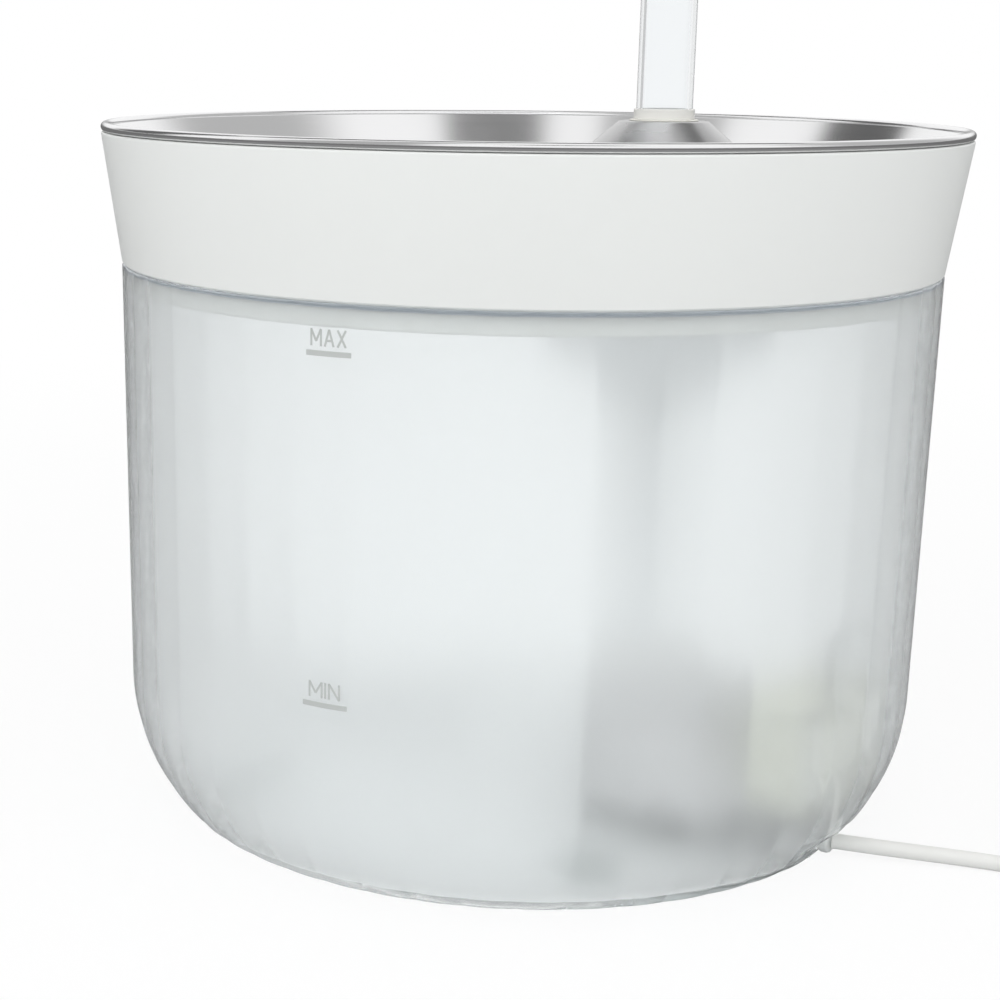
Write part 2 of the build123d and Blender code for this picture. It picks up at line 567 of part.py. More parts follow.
def tail_route():
    """Round the outside of the coil from its top turn down to the floor, then on to the plug."""
    points = []
    for angle, inside, z in TAIL_STEPS:
        r, a = TAIL_R - inside, radians(angle)
        points.append((TURNS_X + r * cos(a), TURNS_Y + r * sin(a), z))
    (x, y, _), a = points[-1], radians(TAIL_STEPS[-1][0] + 100)
    points.append((x + TAIL_RUN_OUT * cos(a), y + TAIL_RUN_OUT * sin(a), PLUG_H / 2))
    return points


def make_power_cord():
    return cord_along("power_cord", CORD_ROUTE)


def make_cord_tail():
    return cord_along("cord_tail", tail_route())


def make_cord_coil():
    half = CORD_R * TURNS_ACROSS
    coil = tube(TURNS_MEAN_R + half, TURNS_MEAN_R - half, 0, 2 * CORD_R * TURNS_HIGH, TURNS_X, TURNS_Y)
    return fillet(coil.edges().filter_by(GeomType.CIRCLE), CORD_R * 0.9)


def plug_place():
    """Frame at the plug's rear, x along the plug."""
    a, b = tail_route()[-2:]
    return Plane(origin=b, x_dir=(b[0] - a[0], b[1] - a[1], 0), z_dir=(0, 0, 1))


NOSE = RELIEF_L + PLUG_L                # the plug body's front face, from the plug's rear


def make_plug_body():
    """Grip with a tapered strain relief behind and a pocket for the shell in front."""
    body = Pos(RELIEF_L + PLUG_L / 2, 0, 0) * Box(PLUG_L, PLUG_W, PLUG_H)
    body = fillet(body.edges().filter_by(Axis.X), 2.6)
    body = fillet(body.edges().filter_by(Axis.X, reverse=True).sort_by(Axis.X)[:8], 1.2)
    relief_end = RELIEF_L + 2
    relief = Pos(relief_end / 2, 0, 0) * Rot(0, 90, 0) * Cone(RELIEF_R0, RELIEF_R1, relief_end)
    pocket = Pos(NOSE - SHELL_SINK / 2, 0, 0) * Box(SHELL_SINK + 0.01, SHELL_W + GAP, SHELL_H + GAP)
    return plug_place() * (body + relief - pocket)


def make_plug_shell():
    """Sheet shell with the two latch holes in its upper and lower faces."""
    middle = NOSE - SHELL_SINK + SHELL_L / 2
    shell = Pos(middle, 0, 0) * Box(SHELL_L, SHELL_W, SHELL_H)
    shell -= Pos(middle + SHELL_T, 0, 0) * Box(SHELL_L, SHELL_W - 2 * SHELL_T, SHELL_H - 2 * SHELL_T)
    for side in (-1, 1):
        shell -= Pos(NOSE + 8.0, side * 2.9, 0) * Box(2.4, 2.2, 10)
    return plug_place() * shell


def make_plug_tongue():
    middle = NOSE - SHELL_SINK + SHELL_T + TONGUE_L / 2
    tongue = Pos(middle, 0, 0.85) * Box(TONGUE_L, TONGUE_W, TONGUE_T)
    return plug_place() * tongue


def make_plug_contacts():
    """Four flat contacts on the tongue's lower face."""
    rows = (-3.5, -1.15, 1.15, 3.5)
    return one_part(plug_place() * (Pos(NOSE + 7.2, y, -0.2) * Box(8.0, 1.1, 0.2)) for y in rows)


NODES = {
    "tank": make_tank,
    "base_cover": make_base_cover,
    "cover_gasket": make_cover_gasket,
    "cover_screws": make_cover_screws,
    "rubber_feet": make_feet,
    "driver_case": make_driver_case,
    "circuit_board": make_circuit_board,
    "stator_core": make_stator_core,
    "drive_coils": make_drive_coils,
    "pump_base": make_pump_base,
    "chamber_lid": make_chamber_lid,
    "impeller": make_impeller,
    "rotor_magnet": make_rotor_magnet,
    "rotor_shaft": make_rotor_shaft,
    "shaft_bushes": make_shaft_bushes,
    "pump_cover": make_pump_cover,
    "filter_holder": make_filter_holder,
    "filter_sponge": make_filter_sponge,
    "riser_pipe": make_riser_pipe,
    "riser_seal": make_riser_seal,
    "spout_adapter": make_spout_adapter,
    "bowl": make_bowl,
    "spout_grommet": make_grommet,
    "spout_socket": make_spout_socket,
    "spout_tube": make_spout_tube,
    "collar_ring": make_collar_ring,
    "cord_gland": make_gland,
    "inner_lead": make_inner_lead,
    "power_cord": make_power_cord,
    "cord_coil": make_cord_coil,
    "cord_tail": make_cord_tail,
    "plug_body": make_plug_body,
    "plug_shell": make_plug_shell,
    "plug_tongue": make_plug_tongue,
    "plug_contacts": make_plug_contacts,
}

os.makedirs("parts", exist_ok=True)
for node, make in NODES.items():
    export_step(make(), f"parts/{node}.step")
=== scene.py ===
"""Looks of a pet water fountain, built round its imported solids.

A frosted, fluted tank carries a flared white ring, a steel bowl with a clear spout, and a small
pump with its filter on the tank's floor. Blender units are metres, +Z is up and +Y is the rear,
where the cord leaves. Sizes in the classes are millimetres on the object.
"""

import logging
import math
from dataclasses import dataclass, field
from enum import Enum
from typing import Any, Sequence

import bpy
import numpy as np
from mathutils import Matrix, Vector


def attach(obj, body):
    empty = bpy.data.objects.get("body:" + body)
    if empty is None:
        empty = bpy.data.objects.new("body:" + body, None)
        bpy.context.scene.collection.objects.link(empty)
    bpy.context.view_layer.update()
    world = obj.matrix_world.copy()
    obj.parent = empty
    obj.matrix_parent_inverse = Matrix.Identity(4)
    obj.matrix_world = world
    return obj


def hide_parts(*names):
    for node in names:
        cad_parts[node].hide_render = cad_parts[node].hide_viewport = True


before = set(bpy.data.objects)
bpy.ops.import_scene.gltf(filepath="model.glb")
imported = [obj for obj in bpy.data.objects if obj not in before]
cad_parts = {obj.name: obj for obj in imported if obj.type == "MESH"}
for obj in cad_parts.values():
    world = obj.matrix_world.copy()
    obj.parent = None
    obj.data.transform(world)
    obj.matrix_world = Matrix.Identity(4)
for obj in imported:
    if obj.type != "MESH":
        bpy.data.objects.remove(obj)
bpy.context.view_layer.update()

log = logging.getLogger("fountain")

MM = 0.001
Colour = tuple[float, float, float]
Row = tuple[float, float]


# ---------------------------------------------------------------------------------------------
# Mesh work
# ---------------------------------------------------------------------------------------------


class Ends(Enum):
    """How the first and last rows of a skin are closed."""

    CAPS = "a flat face on each end row"
    LOOP = "the last row joins the first"


def rounded(corners: Sequence[Row], radii: Sequence[float], closed: bool = False,
            steps: int = 6) -> np.ndarray:
    """Outline with its corners turned into arcs.

    At a corner with half-angle h between its two runs, the arc of radius r touches both runs at
    r / tan(h) from the corner and its centre lies r / sin(h) along the bisector.

    Args:
        corners: Points of the outline.
        radii: Arc radius at each corner; the ends of an open outline take none.
        closed: Whether the last corner joins the first.
        steps: Points on each arc, less one.

    Returns:
        Array of points, one per row.
    """
    spots = np.array(corners, float)
    count = len(spots)
    out: list[np.ndarray] = []
    inner = iter(radii)
    for k in range(count):
        if not closed and k in (0, count - 1):
            out.append(spots[k][None])
            continue
        radius = next(inner)
        before, after = spots[k - 1] - spots[k], spots[(k + 1) % count] - spots[k]
        before, after = before / np.linalg.norm(before), after / np.linalg.norm(after)
        half = math.acos(float(np.clip(before @ after, -1, 1))) / 2
        if radius <= 0 or half > math.pi / 2 - 1e-4:
            out.append(spots[k][None])
            continue
        bisector = (before + after) / np.linalg.norm(before + after)
        centre = spots[k] + bisector * radius / math.sin(half)
        first = spots[k] + before * radius / math.tan(half) - centre
        last = spots[k] + after * radius / math.tan(half) - centre
        a0, a1 = math.atan2(first[1], first[0]), math.atan2(last[1], last[0])
        turn = (a1 - a0 + math.pi) % (2 * math.pi) - math.pi
        angles = a0 + turn * np.linspace(0, 1, steps + 1)
        out.append(centre + radius * np.stack([np.cos(angles), np.sin(angles)], 1))
    return np.concatenate(out)


def arc(centre: Row, radius: float, start: float, end: float, steps: int) -> np.ndarray:
    """Points on a circle: centre + radius * (cos a, sin a), for a from start to end in degrees."""
    angles = np.radians(np.linspace(start, end, steps + 1))
    return np.array(centre, float) + radius * np.stack([np.cos(angles), np.sin(angles)], 1)


def offset(line: np.ndarray, distance: float) -> np.ndarray:
    """Open outline moved sideways along the mean of its runs' normals.

    Args:
        line: Points of the outline, one per row.
        distance: How far it moves, to the right of its direction.

    Returns:
        The moved points.
    """
    run = np.gradient(line, axis=0)
    normal = np.stack([run[:, 1], -run[:, 0]], 1)
    return line + distance * normal / np.linalg.norm(normal, axis=1)[:, None]


def turned(outline: np.ndarray, columns: int, centre_y: float | np.ndarray = 0.0) -> np.ndarray:
    """Round grid: a row (r, z) becomes the circle (r cos a, centre + r sin a, z).

    Args:
        outline: Rows of (radius, height).
        columns: Points round each circle.
        centre_y: The circles' centre along Y, one for all or one per row.

    Returns:
        Array of shape (rows, columns, 3).
    """
    a = np.linspace(0, 2 * math.pi, columns, endpoint=False)
    r, z = outline[:, :1], outline[:, 1:]
    middle = np.broadcast_to(np.asarray(centre_y, float).reshape(-1, 1), (len(outline), 1))
    return np.stack([r * np.cos(a), middle + r * np.sin(a), z + 0 * a], 2)


def solid(name: str, grids: Sequence[np.ndarray], ends: Ends = Ends.LOOP) -> bpy.types.Object:
    """Closed mesh of one or more grids whose columns run round, in one object.

    Point (i, j) of a grid joins (i, j + 1) and (i + 1, j) in a four-sided face. The volume under
    the faces, a sixth of the sum of each triangle's triple product, is negative for a skin that
    is inside out, and then its faces are reversed.

    Args:
        name: Object name.
        grids: Arrays of shape (rows, columns, 3), in millimetres.
        ends: How the end rows are closed.

    Returns:
        The object, in metres, shaded smooth.
    """
    points: list[np.ndarray] = []
    faces: list[list[int]] = []
    first = 0
    for grid in grids:
        rows, columns = grid.shape[:2]
        index = first + np.arange(rows * columns).reshape(rows, columns)
        side = np.roll(index, -1, 1)
        if ends is Ends.LOOP:
            quads = np.stack([index, side, np.roll(side, -1, 0), np.roll(index, -1, 0)], 2)
            caps: list[np.ndarray] = []
        else:
            quads = np.stack([index[:-1], side[:-1], side[1:], index[1:]], 2)
            caps = [index[0][::-1], index[-1]]
        quads = quads.reshape(-1, 4)
        flat = grid.reshape(-1, 3) - grid.reshape(-1, 3).mean(0)
        corner = [flat[quads[:, k] - first] for k in range(4)]
        volume = np.sum(np.cross(corner[0], corner[1]) * corner[2])
        volume += np.sum(np.cross(corner[0], corner[2]) * corner[3])
        for cap in caps:
            ring = flat[cap - first]
            volume += np.sum(np.cross(ring[:1], ring[1:-1]) * ring[2:])
        if volume < 0:
            quads, caps = quads[:, ::-1], [cap[::-1] for cap in caps]
        faces += quads.tolist() + [cap.tolist() for cap in caps]
        points.append(grid.reshape(-1, 3) * MM)
        first += rows * columns
    mesh = bpy.data.meshes.new(name)
    mesh.from_pydata(np.concatenate(points).tolist(), [], faces)
    mesh.polygons.foreach_set("use_smooth", np.ones(len(faces), bool))
    mesh.update()
    item = bpy.data.objects.new(name, mesh)
    bpy.context.scene.collection.objects.link(item)
    return item


def eased(value: np.ndarray, start: float, end: float) -> np.ndarray:
    """Smooth step: t^2 (3 - 2t), where t goes from 0 at start to 1 at end."""
    t = np.clip((value - start) / (end - start), 0, 1)
    return t * t * (3 - 2 * t)


def ring_of(count: int, radius: float, y: float = 0.0, first: float = 45.0) -> list[Row]:
    """Centres of a ring of round features about (0, y), the first at that angle in degrees."""
    turns = np.radians(first + 360 / count * np.arange(count))
    return [(radius * math.cos(t), y + radius * math.sin(t)) for t in turns]


def rod(radius: float, z0: float, z1: float, x: float = 0.0, y: float = 0.0,
        columns: int = 64) -> np.ndarray:
    """Upright cylinder as a two-row grid at (x, y)."""
    grid = turned(np.array([(radius, z0), (radius, z1)]), columns)
    return grid + np.array([x, y, 0.0])


def slab(x0: float, x1: float, y0: float, y1: float, z0: float, z1: float) -> np.ndarray:
    """Block between two corners as a two-row grid of its four upright edges."""
    ring = np.array([(x0, y0), (x1, y0), (x1, y1), (x0, y1)])
    return np.stack([np.column_stack([ring, np.full(4, z)]) for z in (z0, z1)])


def lying(grid: np.ndarray, z: float) -> np.ndarray:
    """An upright grid laid down along +Y at a height: (x, y, z) becomes (x, z, height - y)."""
    return np.stack([grid[..., 0], grid[..., 2], z - grid[..., 1]], -1)


class Cut(Enum):
    """What a tool does to the piece it meets."""

    AWAY = "DIFFERENCE"
    JOINED = "UNION"


def bake(item: bpy.types.Object) -> None:
    """Replaces a piece's mesh by what its modifiers make of it, and drops them.

    Args:
        item: The piece.
    """
    graph = bpy.context.evaluated_depsgraph_get()
    graph.update()
    old = item.data
    made = bpy.data.meshes.new_from_object(item.evaluated_get(graph), depsgraph=graph)
    item.modifiers.clear()
    item.data = made
    made.name = item.name
    bpy.data.meshes.remove(old)


def cut_with(item: bpy.types.Object, tool: bpy.types.Object, how: Cut = Cut.AWAY) -> None:
    """Takes a tool from a piece, or joins it, by a Boolean modifier that is applied.

    Args:
        item: The piece.
        tool: The tool, which is deleted afterwards.
        how: Whether the tool is taken away or joined.
    """
    step = item.modifiers.new("carve", "BOOLEAN")
    step.operation, step.solver, step.object = how.value, "MANIFOLD", tool
    bake(item)
    mesh = tool.data
    bpy.data.objects.remove(tool)
    bpy.data.meshes.remove(mesh)


def carve(item: bpy.types.Object, grids: Sequence[np.ndarray], how: Cut = Cut.AWAY) -> None:
    """Takes closed grids from a piece, or joins them to it."""
    cut_with(item, solid("tool", grids, Ends.CAPS), how)


def crisp(item: bpy.types.Object, degrees: float) -> None:
    """Smooth shading with hard edges wherever two faces meet at more than an angle.

    Args:
        item: The piece.
        degrees: That angle.
    """
    mesh = item.data
    mesh.polygons.foreach_set("use_smooth", np.ones(len(mesh.polygons), bool))
    mesh.set_sharp_from_angle(angle=math.radians(degrees))


def finish_piece(item: bpy.types.Object, body: str, finish_slot: str, material: bpy.types.Material,
                 *nodes: str) -> bpy.types.Object:
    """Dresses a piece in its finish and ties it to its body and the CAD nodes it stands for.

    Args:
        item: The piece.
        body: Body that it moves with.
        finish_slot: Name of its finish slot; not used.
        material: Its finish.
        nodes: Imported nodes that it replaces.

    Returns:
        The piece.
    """
    if item.type == "MESH":
        item.data.materials.clear()
    item.data.materials.append(material)
    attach(item, body)
    if nodes:
        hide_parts(*nodes)
    faces = len(item.data.polygons) if item.type == "MESH" else 0
    log.info("%s rides on %s, %d faces", item.name, body, faces)
    return item


# ---------------------------------------------------------------------------------------------
# Shader expressions
# ---------------------------------------------------------------------------------------------


class Value:
    """A number inside a material; Python's operators on it add Math nodes."""

    def __init__(self, graph: "Graph", socket: bpy.types.NodeSocket) -> None:
        """Wraps one output socket of a graph."""
        self.graph, self.socket = graph, socket

    def math(self, operation: str, *others: "Value | float", swap: bool = False) -> "Value":
        """Result of one Math node.

        Args:
            operation: The node's operation.
            others: Its other inputs.
            swap: Whether this value comes second.
        """
        inputs = [*others, self] if swap else [self, *others]
        node = self.graph.add("ShaderNodeMath", {"operation": operation}, dict(enumerate(inputs)))
        return Value(self.graph, node.outputs[0])

    def __add__(self, other: "Value | float") -> "Value":
        """self + other."""
        return self.math("ADD", other)

    __radd__ = __add__

    def __sub__(self, other: "Value | float") -> "Value":
        """self - other."""
        return self.math("SUBTRACT", other)

    def __rsub__(self, other: float) -> "Value":
        """other - self."""
        return self.math("SUBTRACT", other, swap=True)

    def __mul__(self, other: "Value | float") -> "Value":
        """self * other."""
        return self.math("MULTIPLY", other)

    __rmul__ = __mul__

    def root(self) -> "Value":
        """Square root."""
        return self.math("SQRT")

    def most(self, other: "Value | float") -> "Value":
        """The larger of the two."""
        return self.math("MAXIMUM", other)

    def below(self, limit: float) -> "Value":
        """1 under the limit, 0 over it."""
        return self.math("LESS_THAN", limit)

    def ramp(self, start: float, end: float, low: float = 0.0, high: float = 1.0) -> "Value":
        """Smooth step of this value.

        Args:
            start: Value up to which the result is low.
            end: Value from which it is high.
            low: Result at the start.
            high: Result at the end.

        Returns:
            The result.
        """
        node = self.graph.add("ShaderNodeMapRange", {"interpolation_type": "SMOOTHSTEP"},
                              {"Value": self, "From Min": start, "From Max": end,
                               "To Min": low, "To Max": high})
        return Value(self.graph, node.outputs[0])


class Graph:
    """A node tree and the one method that adds any node to it."""

    def __init__(self, tree: bpy.types.NodeTree, fresh: bool = True) -> None:
        """Takes a tree, and clears it where it is to start fresh."""
        self.tree = tree
        if fresh:
            tree.nodes.clear()

    def add(self, kind: str, settings: dict[str, Any] | None = None,
            inputs: dict[Any, Any] | None = None) -> bpy.types.Node:
        """A node of any type.

        Args:
            kind: The node's type name.
            settings: Its properties, set before the sockets; stops are a ramp's (place, colour).
            inputs: Values, Value objects or sockets for its inputs, by name or number.

        Returns:
            The node.
        """
        node = self.tree.nodes.new(kind)
        for name, value in (settings or {}).items():
            if name == "stops":
                for k, (place, colour) in enumerate(value):
                    while len(node.color_ramp.elements) <= k:
                        node.color_ramp.elements.new(1.0)
                    node.color_ramp.elements[k].position = place
                    node.color_ramp.elements[k].color = (*colour, 1.0)
            else:
                setattr(node, name, value)
        for name, value in (inputs or {}).items():
            socket = node.inputs[name]
            if isinstance(value, Value):
                self.tree.links.new(value.socket, socket)
            elif isinstance(value, bpy.types.NodeSocket):
                self.tree.links.new(value, socket)
            else:
                socket.default_value = value
        return node

    def value(self, kind: str, output: int | str = 0, settings: dict[str, Any] | None = None,
              inputs: dict[Any, Any] | None = None) -> Value:
        """One output of a new node, as a Value."""
        return Value(self, self.add(kind, settings, inputs).outputs[output])

    def place(self) -> bpy.types.NodeSocket:
        """The surface point in the object's own coordinates, which are the model's."""
        return self.add("ShaderNodeTexCoord").outputs["Object"]

    def axes(self) -> tuple[Value, Value, Value]:
        """The surface point's x, y and z in metres."""
        parts = self.add("ShaderNodeSeparateXYZ", inputs={0: self.place()}).outputs
        return Value(self, parts[0]), Value(self, parts[1]), Value(self, parts[2])

    def joined(self, x: Value | float, y: Value | float, z: Value | float) -> Value:
        """Vector of three numbers."""
        return self.value("ShaderNodeCombineXYZ", inputs={0: x, 1: y, 2: z})

    def noise(self, size: float, detail: float = 2.0, vector: Value | None = None) -> Value:
        """Noise from 0 to 1.

        Args:
            size: Size of its grain, in metres.
            detail: How many finer layers it has.
            vector: Where it is read; the surface point, if none is given.

        Returns:
            The noise.
        """
        where = self.place() if vector is None else vector
        return self.value("ShaderNodeTexNoise", "Fac",
                          inputs={"Vector": where, "Scale": 1.0 / size, "Detail": detail,
                                  "Roughness": 0.55})

    def cells(self, size: float) -> Value:
        """Distance to the nearest of scattered points that lie about size metres apart."""
        return self.value("ShaderNodeTexVoronoi", "Distance",
                          inputs={"Vector": self.place(), "Scale": 1.0 / size})

    def mix(self, share: Value, first: "Colour | bpy.types.NodeSocket",
            second: Colour) -> bpy.types.NodeSocket:
        """Colour between two.

        Args:
            share: How much of the second it has, from 0 to 1.
            first: Linear colour, or the socket of one.
            second: Linear colour.

        Returns:
            The colour's socket.
        """
        start = first if isinstance(first, bpy.types.NodeSocket) else (*first, 1.0)
        node = self.add("ShaderNodeMix", {"data_type": "RGBA"},
                        {0: share, 6: start, 7: (*second, 1.0)})
        return node.outputs[2]

    def bump(self, height: Value, depth: float) -> bpy.types.NodeSocket:
        """Normal tilted by a height from 0 to 1 that stands for depth metres."""
        return self.add("ShaderNodeBump",
                        inputs={"Height": height, "Distance": depth}).outputs["Normal"]

    def finish(self, inputs: dict[str, Any]) -> None:
        """Ends a material in one Principled shader with the given inputs."""
        shader = self.add("ShaderNodeBsdfPrincipled", inputs=inputs)
        self.add("ShaderNodeOutputMaterial", inputs={0: shader.outputs[0]})

    def finish_clear(self, inputs: dict[str, Any], colour: Colour, open_share: float) -> None:
        """Ends a clear material, with a Transparent share for the lamps' shadow rays alone.

        Args:
            inputs: The Principled shader's inputs.
            colour: Tint of the lamps' light that goes through.
            open_share: Share of that light.
        """
        shader = self.add("ShaderNodeBsdfPrincipled", inputs=inputs)
        let_through = self.add("ShaderNodeBsdfTransparent", inputs={0: (*colour, 1.0)})
        lamp_ray = self.value("ShaderNodeLightPath", "Is Shadow Ray") * open_share
        both = self.add("ShaderNodeMixShader", inputs={0: lamp_ray, 1: shader.outputs[0],
                                                       2: let_through.outputs[0]})
        self.add("ShaderNodeOutputMaterial", inputs={0: both.outputs[0]})


def new_material(name: str) -> tuple[bpy.types.Material, Graph]:
    """Empty material with its graph."""
    material = bpy.data.materials.new(name)
    material.use_nodes = True
    return material, Graph(material.node_tree)


def shade(colour: Colour, factor: float) -> Colour:
    """Colour made lighter or darker, kept at or below white."""
    return tuple(min(1.0, c * factor) for c in colour)


# ---------------------------------------------------------------------------------------------
# Finishes
# ---------------------------------------------------------------------------------------------


@dataclass(frozen=True)
class Moulding:
    """Moulded plastic or rubber: a fine spark-eroded grain, faint flow clouds and uneven gloss.

    Args:
        name: Material name.
        colour: Linear base colour.
        roughness: Mean roughness.
        grain: Size of the grain in metres.
        depth: Height of the grain in metres.
        clouds: How much darker the flow clouds are.
    """

    name: str
    colour: Colour
    roughness: float = 0.42
    grain: float = 0.0004
    depth: float = 0.00001
    clouds: float = 0.04

    def material(self) -> bpy.types.Material:
        """Builds the finish."""
        material, g = new_material(self.name)
        cloud, grain = g.noise(0.03, 2.0), g.noise(self.grain, 3.0)
        g.finish({
            "Base Color": g.mix(cloud, shade(self.colour, 1 - self.clouds), self.colour),
            "Roughness": self.roughness + 0.1 * (g.noise(0.012, 3.0) - 0.5),
            "Normal": g.bump(grain, self.depth),
        })
        return material


@dataclass(frozen=True)
class PaintedShadeMoulding(Moulding):
    """Moulding with a second, darker tone painted over part of it as shade.

    Args:
        second: Linear colour of the painted shade.
    """

    second: Colour = (0.75, 0.755, 0.735)

    def share(self, g: Graph) -> Value:
        """How much of the painted shade a point has, from 0 to 1."""
        raise NotImplementedError

    def material(self) -> bpy.types.Material:
        """Builds the moulding, then lays the painted shade over it."""
        material = super().material()
        g = Graph(material.node_tree, fresh=False)
        shader = next(n for n in material.node_tree.nodes if n.type == "BSDF_PRINCIPLED")
        face = shader.inputs["Base Color"].links[0].from_socket
        # Painted shade: the second tone mixed over the moulding's own colour.
        tone = g.mix(self.share(g), face, self.second)
        material.node_tree.links.new(tone, shader.inputs["Base Color"])
        return material


@dataclass(frozen=True)
class RingPaintedShadeMoulding(PaintedShadeMoulding):
    """White moulding whose skirt, inside the tank, is painted darker than its face as shade for the
    dimmer light there.

    Args:
        skirt_z: Height of the skirt's upper end, in metres.
    """

    skirt_z: float = 0.1252

    def share(self, g: Graph) -> Value:
        """1 below the skirt's upper end, where the painted shade lies."""
        _, _, z = g.axes()
        return z.ramp(self.skirt_z + 0.0001, self.skirt_z - 0.0001)


@dataclass(frozen=True)
class HoodPaintedShadeMoulding(PaintedShadeMoulding):
    """Thin pale hood, with grey painted shade low down that stands in for the dark pump's shell
    close behind it.

    Args:
        top: Height where the painted shade begins, in metres.
        full: Height from which it is full, in metres.
    """

    top: float = 0.043
    full: float = 0.031

    def share(self, g: Graph) -> Value:
        """Grows from 0 at the top of the painted shade to 1 where it is full."""
        _, _, z = g.axes()
        return z.ramp(self.top, self.full)


@dataclass(frozen=True)
class Metal:
    """Bare metal with a fine scatter of polish marks and duller patches."""

    name: str
    colour: Colour
    roughness: float = 0.3
    grain: float = 0.0002

    def material(self) -> bpy.types.Material:
        """Builds the finish."""
        material, g = new_material(self.name)
        patches = g.noise(0.006, 4.0)
        g.finish({
            "Base Color": g.mix(patches, shade(self.colour, 0.85), self.colour),
            "Metallic": 1.0,
            "Roughness": self.roughness + 0.15 * (patches - 0.5),
            "Normal": g.bump(g.noise(self.grain, 3.0), 0.000004),
        })
        return material


@dataclass(frozen=True)
class Winding:
    """Enamelled wire laid in level rounds, one rib for each wire, with painted shade in the grooves
    between them.
    """

    name: str
    colour: Colour
    wire: float = 0.0003

    def material(self) -> bpy.types.Material:
        """Builds the finish; a rib's height is the sine of the height over the wire's thickness."""
        material, g = new_material(self.name)
        _, _, z = g.axes()
        rib = 0.5 + 0.5 * (z * (2 * math.pi / self.wire)).math("SINE")
        g.finish({
            # Painted shade: the colour falls to 0.55 of itself in the grooves between the wires.
            "Base Color": g.mix(rib, shade(self.colour, 0.55), self.colour),
            "Metallic": 0.8,
            "Roughness": 0.3 + 0.1 * g.noise(0.002),
            "Normal": g.bump(rib, 0.0001),
        })
        return material


@dataclass(frozen=True)
class Foam:
    """Open-celled filter foam: pale struts, with painted shade in the pores between them."""

    name: str
    colour: Colour
    pore_shade_colour: Colour
    pore: float = 0.0011

    def material(self) -> bpy.types.Material:
        """Builds the finish."""
        material, g = new_material(self.name)
        wall = g.cells(self.pore).ramp(0.1, 0.75)
        tone = wall * 0.75 + 0.25 * g.noise(0.004, 3.0)
        g.finish({
            # Painted shade: the pores take the darker pore colour.
            "Base Color": g.mix(tone, self.pore_shade_colour, self.colour),
            "Roughness": 0.85 + 0.1 * wall,
            "Normal": g.bump(wall, 0.0004),
        })
        return material


@dataclass(frozen=True)
class SpunSteel:
    """Bowl steel, spun bright: fine rounds about the bowl's axis, or the dome's where it stands.

    Args:
        name: Material name.
        colour: Linear base colour.
        roughness: Mean roughness.
        line: Width of one polishing round in metres.
        dome_y: The dome's axis along Y, in metres.
        dome_r: Radius of the dome's foot, in metres.
        dome_roughness: Mean roughness of the dome.
        dome_shade: How bright the dome is against the bowl; the dome's darker colour is a painted
            dark reflection of the ceiling it mirrors.
    """

    name: str
    colour: Colour
    roughness: float
    line: float
    dome_y: float
    dome_r: float
    dome_roughness: float
    dome_shade: float = 0.6

    def material(self) -> bpy.types.Material:
        """Builds the finish.

        The rounds are noise along one number: the distance from the axis plus 0.7 of the height,
        over a round's width.
        """
        material, g = new_material(self.name)
        x, y, z = g.axes()
        from_bowl = (x * x + y * y).root()
        rise = y - self.dome_y
        from_dome = (x * x + rise * rise).root()
        dome = from_dome.ramp(self.dome_r + 0.001, self.dome_r - 0.001)
        along = from_bowl * (1 - dome) + from_dome * dome + 0.7 * z
        rounds = g.noise(1.0, 4.0, g.joined(along * (1 / self.line), dome * 5.0, 0.0))
        broad = g.noise(1.0, 2.0, g.joined(along * (0.12 / self.line), 3.0, 0.0))
        smear = g.noise(0.02, 3.0)
        rough = self.roughness + (self.dome_roughness - self.roughness) * dome
        bright = g.mix(rounds, shade(self.colour, 0.93), self.colour)
        g.finish({
            # Painted reflection: the dome's colour is darkened to stand for the dark ceiling it
            # mirrors.
            "Base Color": g.mix(dome, bright, shade(self.colour, self.dome_shade)),
            "Metallic": 1.0,
            "Roughness": rough + 0.06 * (broad - 0.5) + 0.05 * (smear - 0.5),
            "Normal": g.bump(rounds * 0.7 + broad * 0.3, 0.0000025),
        })
        return material


@dataclass(frozen=True)
class Frosted:
    """Clear plastic, polished outside and frosted inside, with a bare lip.

    The frost blurs what stands behind it, the more the further off it stands. Lamps reach the
    inside through a Transparent share for shadow rays alone, because a rough pane would otherwise
    shut them out.

    Args:
        name: Material name.
        colour: Linear tint of the wall.
        lip_tint_and_shade: Linear colour of the polished lip: its own bluish tint, darkened as
            painted shade of the gap where the ring meets it.
        lip_z: Height from which the wall is bare, in metres.
        corner: Radius and height of the lower corner's centre, in metres.
        mid_wall: Distance from that centre to the middle of the wall, in metres.
        roughness: Roughness of the frosted face.
        polish: Roughness of the outer face.
        clearness: Share of light that goes through.
        open_share: Share of a lamp's light that reaches the inside.
        index: Refractive index.
    """

    name: str
    colour: Colour
    lip_tint_and_shade: Colour
    lip_z: float
    corner: Row
    mid_wall: float
    roughness: float = 0.45
    polish: float = 0.12
    clearness: float = 0.93
    open_share: float = 0.95
    index: float = 1.40

    def material(self) -> bpy.types.Material:
        """Builds the finish.

        A point is on the inner face where it lies nearer than the wall's middle to the corner's
        centre, its distance counted outwards and downwards alone.
        """
        material, g = new_material(self.name)
        x, y, z = g.axes()
        lip = z.ramp(self.lip_z - 0.0001, self.lip_z + 0.0001)
        out = ((x * x + y * y).root() - self.corner[0]).most(0.0)
        down = (self.corner[1] - z).most(0.0)
        inner = (out * out + down * down).root().below(self.mid_wall)
        haze, blast = g.noise(0.035, 2.0), g.noise(0.0003, 2.0)
        wall = g.mix(haze, shade(self.colour, 0.975), self.colour)
        frost = self.roughness - self.polish + 0.05 * (haze - 0.5)
        g.finish_clear({
            # The lip's colour: its own bluish tint, partly painted shade of the gap at the ring's
            # joint.
            "Base Color": g.mix(lip, wall, self.lip_tint_and_shade),
            "Roughness": self.polish + frost * inner * (1 - lip) - 0.06 * lip,
            "IOR": self.index,
            "Transmission Weight": self.clearness,
            "Normal": g.bump(blast * inner * (1 - lip), 0.000006),
        }, self.colour, self.open_share)
        return material


